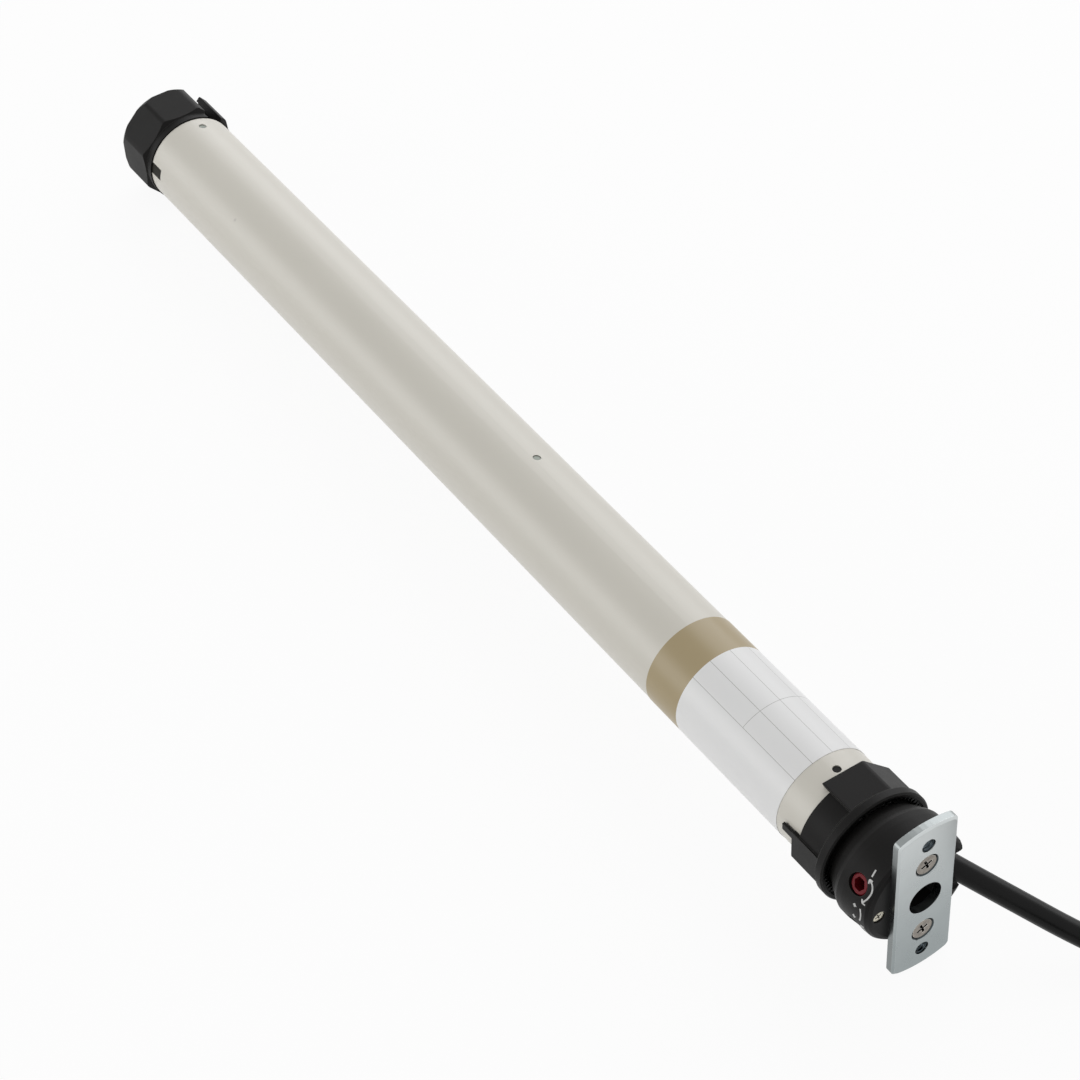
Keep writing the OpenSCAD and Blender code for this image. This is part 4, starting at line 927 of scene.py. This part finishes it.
# End turns: the enamelled wires that pass from slot to slot at both ends of
# the stator, laid side by side in a ring and soaked in varnish.
WIRE_D, RING_IN, RING_OUT, BUNDLE_PLAY = 0.0009, 0.0112, 0.0137, 0.0014


def end_turn_tree():
    """Geometry nodes: rings of wire about X, on a grid of radius and place."""
    tree, source = open_tree(
        "rings_of_wire", ("Inner radius", 0.010), ("Outer radius", 0.014),
        ("Bundle length", 0.006), ("Wire diameter", 0.0009), ("Bundle spacing", 0.1),
    )
    n, link = tree.nodes, tree.links.new
    inner, outer = source.outputs["Inner radius"], source.outputs["Outer radius"]
    length, wire_d = source.outputs["Bundle length"], source.outputs["Wire diameter"]
    width, middle = math_node(tree, "SUBTRACT", outer, inner), math_node(tree, "ADD", outer, inner)
    grid = n.new("GeometryNodeMeshGrid")
    for size, axis in ((length, "X"), (width, "Y")):
        per = math_node(tree, "FLOOR", math_node(tree, "DIVIDE", size, wire_d))
        link(size, grid.inputs["Size " + axis])
        link(math_node(tree, "ADD", per, 1.0), grid.inputs["Vertices " + axis])
    spot, xyz = n.new("GeometryNodeInputPosition"), n.new("ShaderNodeSeparateXYZ")
    link(spot.outputs[0], xyz.inputs[0])
    radius = math_node(tree, "ADD", math_node(tree, "MULTIPLY", middle, 0.5), xyz.outputs["Y"])
    kept, read = n.new("GeometryNodeStoreNamedAttribute"), n.new("GeometryNodeInputNamedAttribute")
    kept.inputs["Name"].default_value = read.inputs["Name"].default_value = "ring_radius"
    link(grid.outputs["Mesh"], kept.inputs["Geometry"])
    link(radius, kept.inputs["Value"])
    along, lined = n.new("ShaderNodeCombineXYZ"), n.new("GeometryNodeSetPosition")
    link(xyz.outputs["X"], along.inputs["X"])
    link(kept.outputs[0], lined.inputs["Geometry"])
    link(along.outputs[0], lined.inputs["Position"])
    ring, stand = n.new("GeometryNodeCurvePrimitiveCircle"), n.new("GeometryNodeTransform")
    ring.inputs["Resolution"].default_value = 72
    ring.inputs["Radius"].default_value = 1.0
    stand.inputs["Rotation"].default_value = (0, math.radians(90), 0)
    link(ring.outputs["Curve"], stand.inputs["Geometry"])
    rings, real = n.new("GeometryNodeInstanceOnPoints"), n.new("GeometryNodeRealizeInstances")
    link(lined.outputs[0], rings.inputs["Points"])
    link(stand.outputs[0], rings.inputs["Instance"])
    link(read.outputs["Attribute"], rings.inputs["Scale"])
    link(rings.outputs[0], real.inputs[0])
    wire_r = math_node(tree, "MULTIPLY", wire_d, 0.5)
    wires = round_wire(tree, real.outputs[0], wire_r, 6, False)
    return close_tree(tree, two_apart(tree, wires, source.outputs["Bundle spacing"]), source)


turns_low, turns_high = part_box("stator_windings")
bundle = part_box("stator_core")[0][0] - turns_low[0]
end_turns = grow(
    "end_turns", end_turn_tree(), bpy.data.meshes.new("end_turn_base"),
    Matrix.Translation(((turns_low[0] + turns_high[0]) / 2, 0, 0)), Inner_radius=RING_IN,
    Outer_radius=RING_OUT, Bundle_length=bundle - BUNDLE_PLAY, Wire_diameter=WIRE_D,
    Bundle_spacing=turns_high[0] - turns_low[0] - bundle, Material=copper,
)
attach(end_turns, "motor")

# Spring brake: a cast housing, a lined disc on the rotor's shaft, and a ground
# armature that a steel spring holds against it while the motor is off.
lining = finish(
    "friction_lining", (0.075, 0.055, 0.040), 0.82, specular=0.2, Edge_radius=0.0002, Edge_wear=0.3,
    Edge_color=(0.14, 0.11, 0.09), Grain_per_metre=1500, Grain_strength=0.9, Blotch_per_metre=900,
    Shade_change=1.2,
)
dress_nodes(lining, "brake_disc")
SPRING_WIRE, SPRING_R, SPRING_COILS, CLOSED_SHARE, COIL_STEPS = 0.0011, 0.0086, 5.0, 0.15, 32


def spring_tree():
    """Geometry nodes: a wire wound about X, with flat closed coils at both ends."""
    tree, source = open_tree(
        "wound_spring", ("Coil radius", 0.008), ("Wire diameter", 0.001), ("Coils", 5.0),
        ("Closed share", 0.15), ("Spring length", 0.015),
    )
    n, link = tree.nodes, tree.links.new
    closed = source.outputs["Closed share"]
    points = math_node(tree, "MULTIPLY", source.outputs["Coils"], COIL_STEPS)
    line, spot = n.new("GeometryNodeMeshLine"), n.new("GeometryNodeInputIndex")
    link(math_node(tree, "ADD", points, 1.0), line.inputs["Count"])
    along = math_node(tree, "DIVIDE", spot.outputs[0], points)
    turned = math_node(tree, "MULTIPLY", spot.outputs[0], 2 * math.pi / COIL_STEPS)
    active = math_node(tree, "MULTIPLY_ADD", closed, -2.0, 1.0)
    lead = math_node(tree, "DIVIDE", math_node(tree, "SUBTRACT", along, closed), active)
    lead = math_node(tree, "MAXIMUM", math_node(tree, "MINIMUM", lead, 1.0), 0.0)
    place, moved = n.new("ShaderNodeCombineXYZ"), n.new("GeometryNodeSetPosition")
    link(math_node(tree, "MULTIPLY", lead, source.outputs["Spring length"]), place.inputs["X"])
    for axis, operation in (("Y", "COSINE"), ("Z", "SINE")):
        across = math_node(tree, operation, turned)
        link(math_node(tree, "MULTIPLY", across, source.outputs["Coil radius"]), place.inputs[axis])
    link(line.outputs["Mesh"], moved.inputs["Geometry"])
    link(place.outputs[0], moved.inputs["Position"])
    path, smooth = n.new("GeometryNodeMeshToCurve"), n.new("GeometryNodeSetShadeSmooth")
    link(moved.outputs["Geometry"], path.inputs[0])
    wire_r = math_node(tree, "MULTIPLY", source.outputs["Wire diameter"], 0.5)
    link(round_wire(tree, path.outputs[0], wire_r, 12, True), smooth.inputs["Geometry"])
    return close_tree(tree, smooth.outputs[0], source)


spring_low, spring_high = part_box("brake_spring")
wound_spring = grow(
    "wound_brake_spring", spring_tree(), bpy.data.meshes.new("spring_base"),
    Matrix.Translation((spring_low[0] + SPRING_WIRE / 2, 0, 0)), Coil_radius=SPRING_R,
    Wire_diameter=SPRING_WIRE, Coils=SPRING_COILS, Closed_share=CLOSED_SHARE,
    Spring_length=spring_high[0] - spring_low[0] - SPRING_WIRE, Material=ground_steel,
)
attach(wound_spring, "motor")
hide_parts("brake_spring")

# Gearbox: three planetary stages of hardened and oiled steel in one broached
# ring gear. Each carrier is ground steel and bears the next stage's sun.
hardened_steel = finish(
    "hardened_steel", (0.31, 0.315, 0.32), 0.32, metallic=1.0, Edge_radius=0.0001, Edge_wear=0.7,
    Edge_color=(0.7, 0.7, 0.69), Grain_per_metre=2600, Grain_strength=0.2, Blotch_per_metre=250,
    Shade_change=0.35, Roughness_change=0.2,
)
planets = [f"planet_{stage}{one}" for stage in (1, 2, 3) for one in "abc"]
dress_nodes(hardened_steel, "ring_gear_housing", "sun_pinion", *planets)

# Table and light: a pale table that leans in this frame, so that the motor's
# plate and drive wheel stand on it, a soft sky, and wide lamps on both sides of
# the tube. The part of it that faces the camera is the darker band, as in the
# photograph.
TABLE_HALF, TABLE_GLOW, SKY_ON_PART, SKY_SEEN = 6.0, 0.93, 0.46, 1.0
table_mesh = bpy.data.meshes.new("table")
drop = math.tan(LEAN)
top = -PLATE_LEN / 2 - PLATE_T / 2 * drop
corners = [(i * TABLE_HALF, j * TABLE_HALF) for i, j in ((-1, -1), (1, -1), (1, 1), (-1, 1))]
table_mesh.from_pydata([(x, y, top - x * drop) for x, y in corners], [], [(0, 1, 2, 3)])
table = new_piece("table", table_mesh)


def bare_view(tree):
    """1 for rays that show the surroundings: from the camera, or off gloss or glass."""
    seen = tree.nodes.new("ShaderNodeLightPath")
    both = math_node(tree, "MAXIMUM", seen.outputs["Is Camera Ray"], seen.outputs["Is Glossy Ray"])
    return math_node(tree, "MAXIMUM", both, seen.outputs["Is Transmission Ray"])


pale = bpy.data.materials.new("pale_table")
pale.use_nodes = True
tree = pale.node_tree
shader = tree.nodes["Principled BSDF"]
shader.inputs["Base Color"].default_value = (0.84, 0.84, 0.84, 1)
shader.inputs["Roughness"].default_value = 0.8
glow, mixer = tree.nodes.new("ShaderNodeEmission"), tree.nodes.new("ShaderNodeMixShader")
glow.inputs["Strength"].default_value = 1.0
tree.links.new(math_node(tree, "MULTIPLY", bare_view(tree), TABLE_GLOW), mixer.inputs[0])
tree.links.new(shader.outputs[0], mixer.inputs[1])
tree.links.new(glow.outputs[0], mixer.inputs[2])
tree.links.new(mixer.outputs[0], tree.nodes["Material Output"].inputs["Surface"])
table_mesh.materials.append(pale)

world = bpy.data.worlds.new("studio")
scene.world = world
world.use_nodes = True
tree = world.node_tree
level = tree.nodes.new("ShaderNodeMix")
level.inputs[2].default_value = SKY_ON_PART
level.inputs[3].default_value = SKY_SEEN
tree.links.new(bare_view(tree), level.inputs[0])
tree.links.new(level.outputs[0], tree.nodes["Background"].inputs["Strength"])
tree.nodes["Background"].inputs["Color"].default_value = (1, 1, 1, 1)

MOTOR_MIDDLE = Vector((-0.2, 0, 0))


def wide_lamp(name, place, size, power, color):
    """A rectangular lamp that looks at the middle of the motor."""
    data = bpy.data.lights.new(name, "AREA")
    data.shape = "RECTANGLE"
    data.size, data.size_y = size
    data.energy = power
    data.color = color
    lamp = bpy.data.objects.new(name, data)
    scene.collection.objects.link(lamp)
    lamp.location = place
    lamp.rotation_euler = (MOTOR_MIDDLE - Vector(place)).to_track_quat("-Z", "Y").to_euler()


wide_lamp("right_lamp", (-1.0, 1.58, 1.23), (3.0, 1.9), 31.5, (0.985, 0.985, 1.0))
wide_lamp("left_lamp", (-1.0, -1.90, 0.55), (3.0, 1.1), 20, (1.0, 1.0, 1.0))

scene.view_settings.view_transform = "Standard"
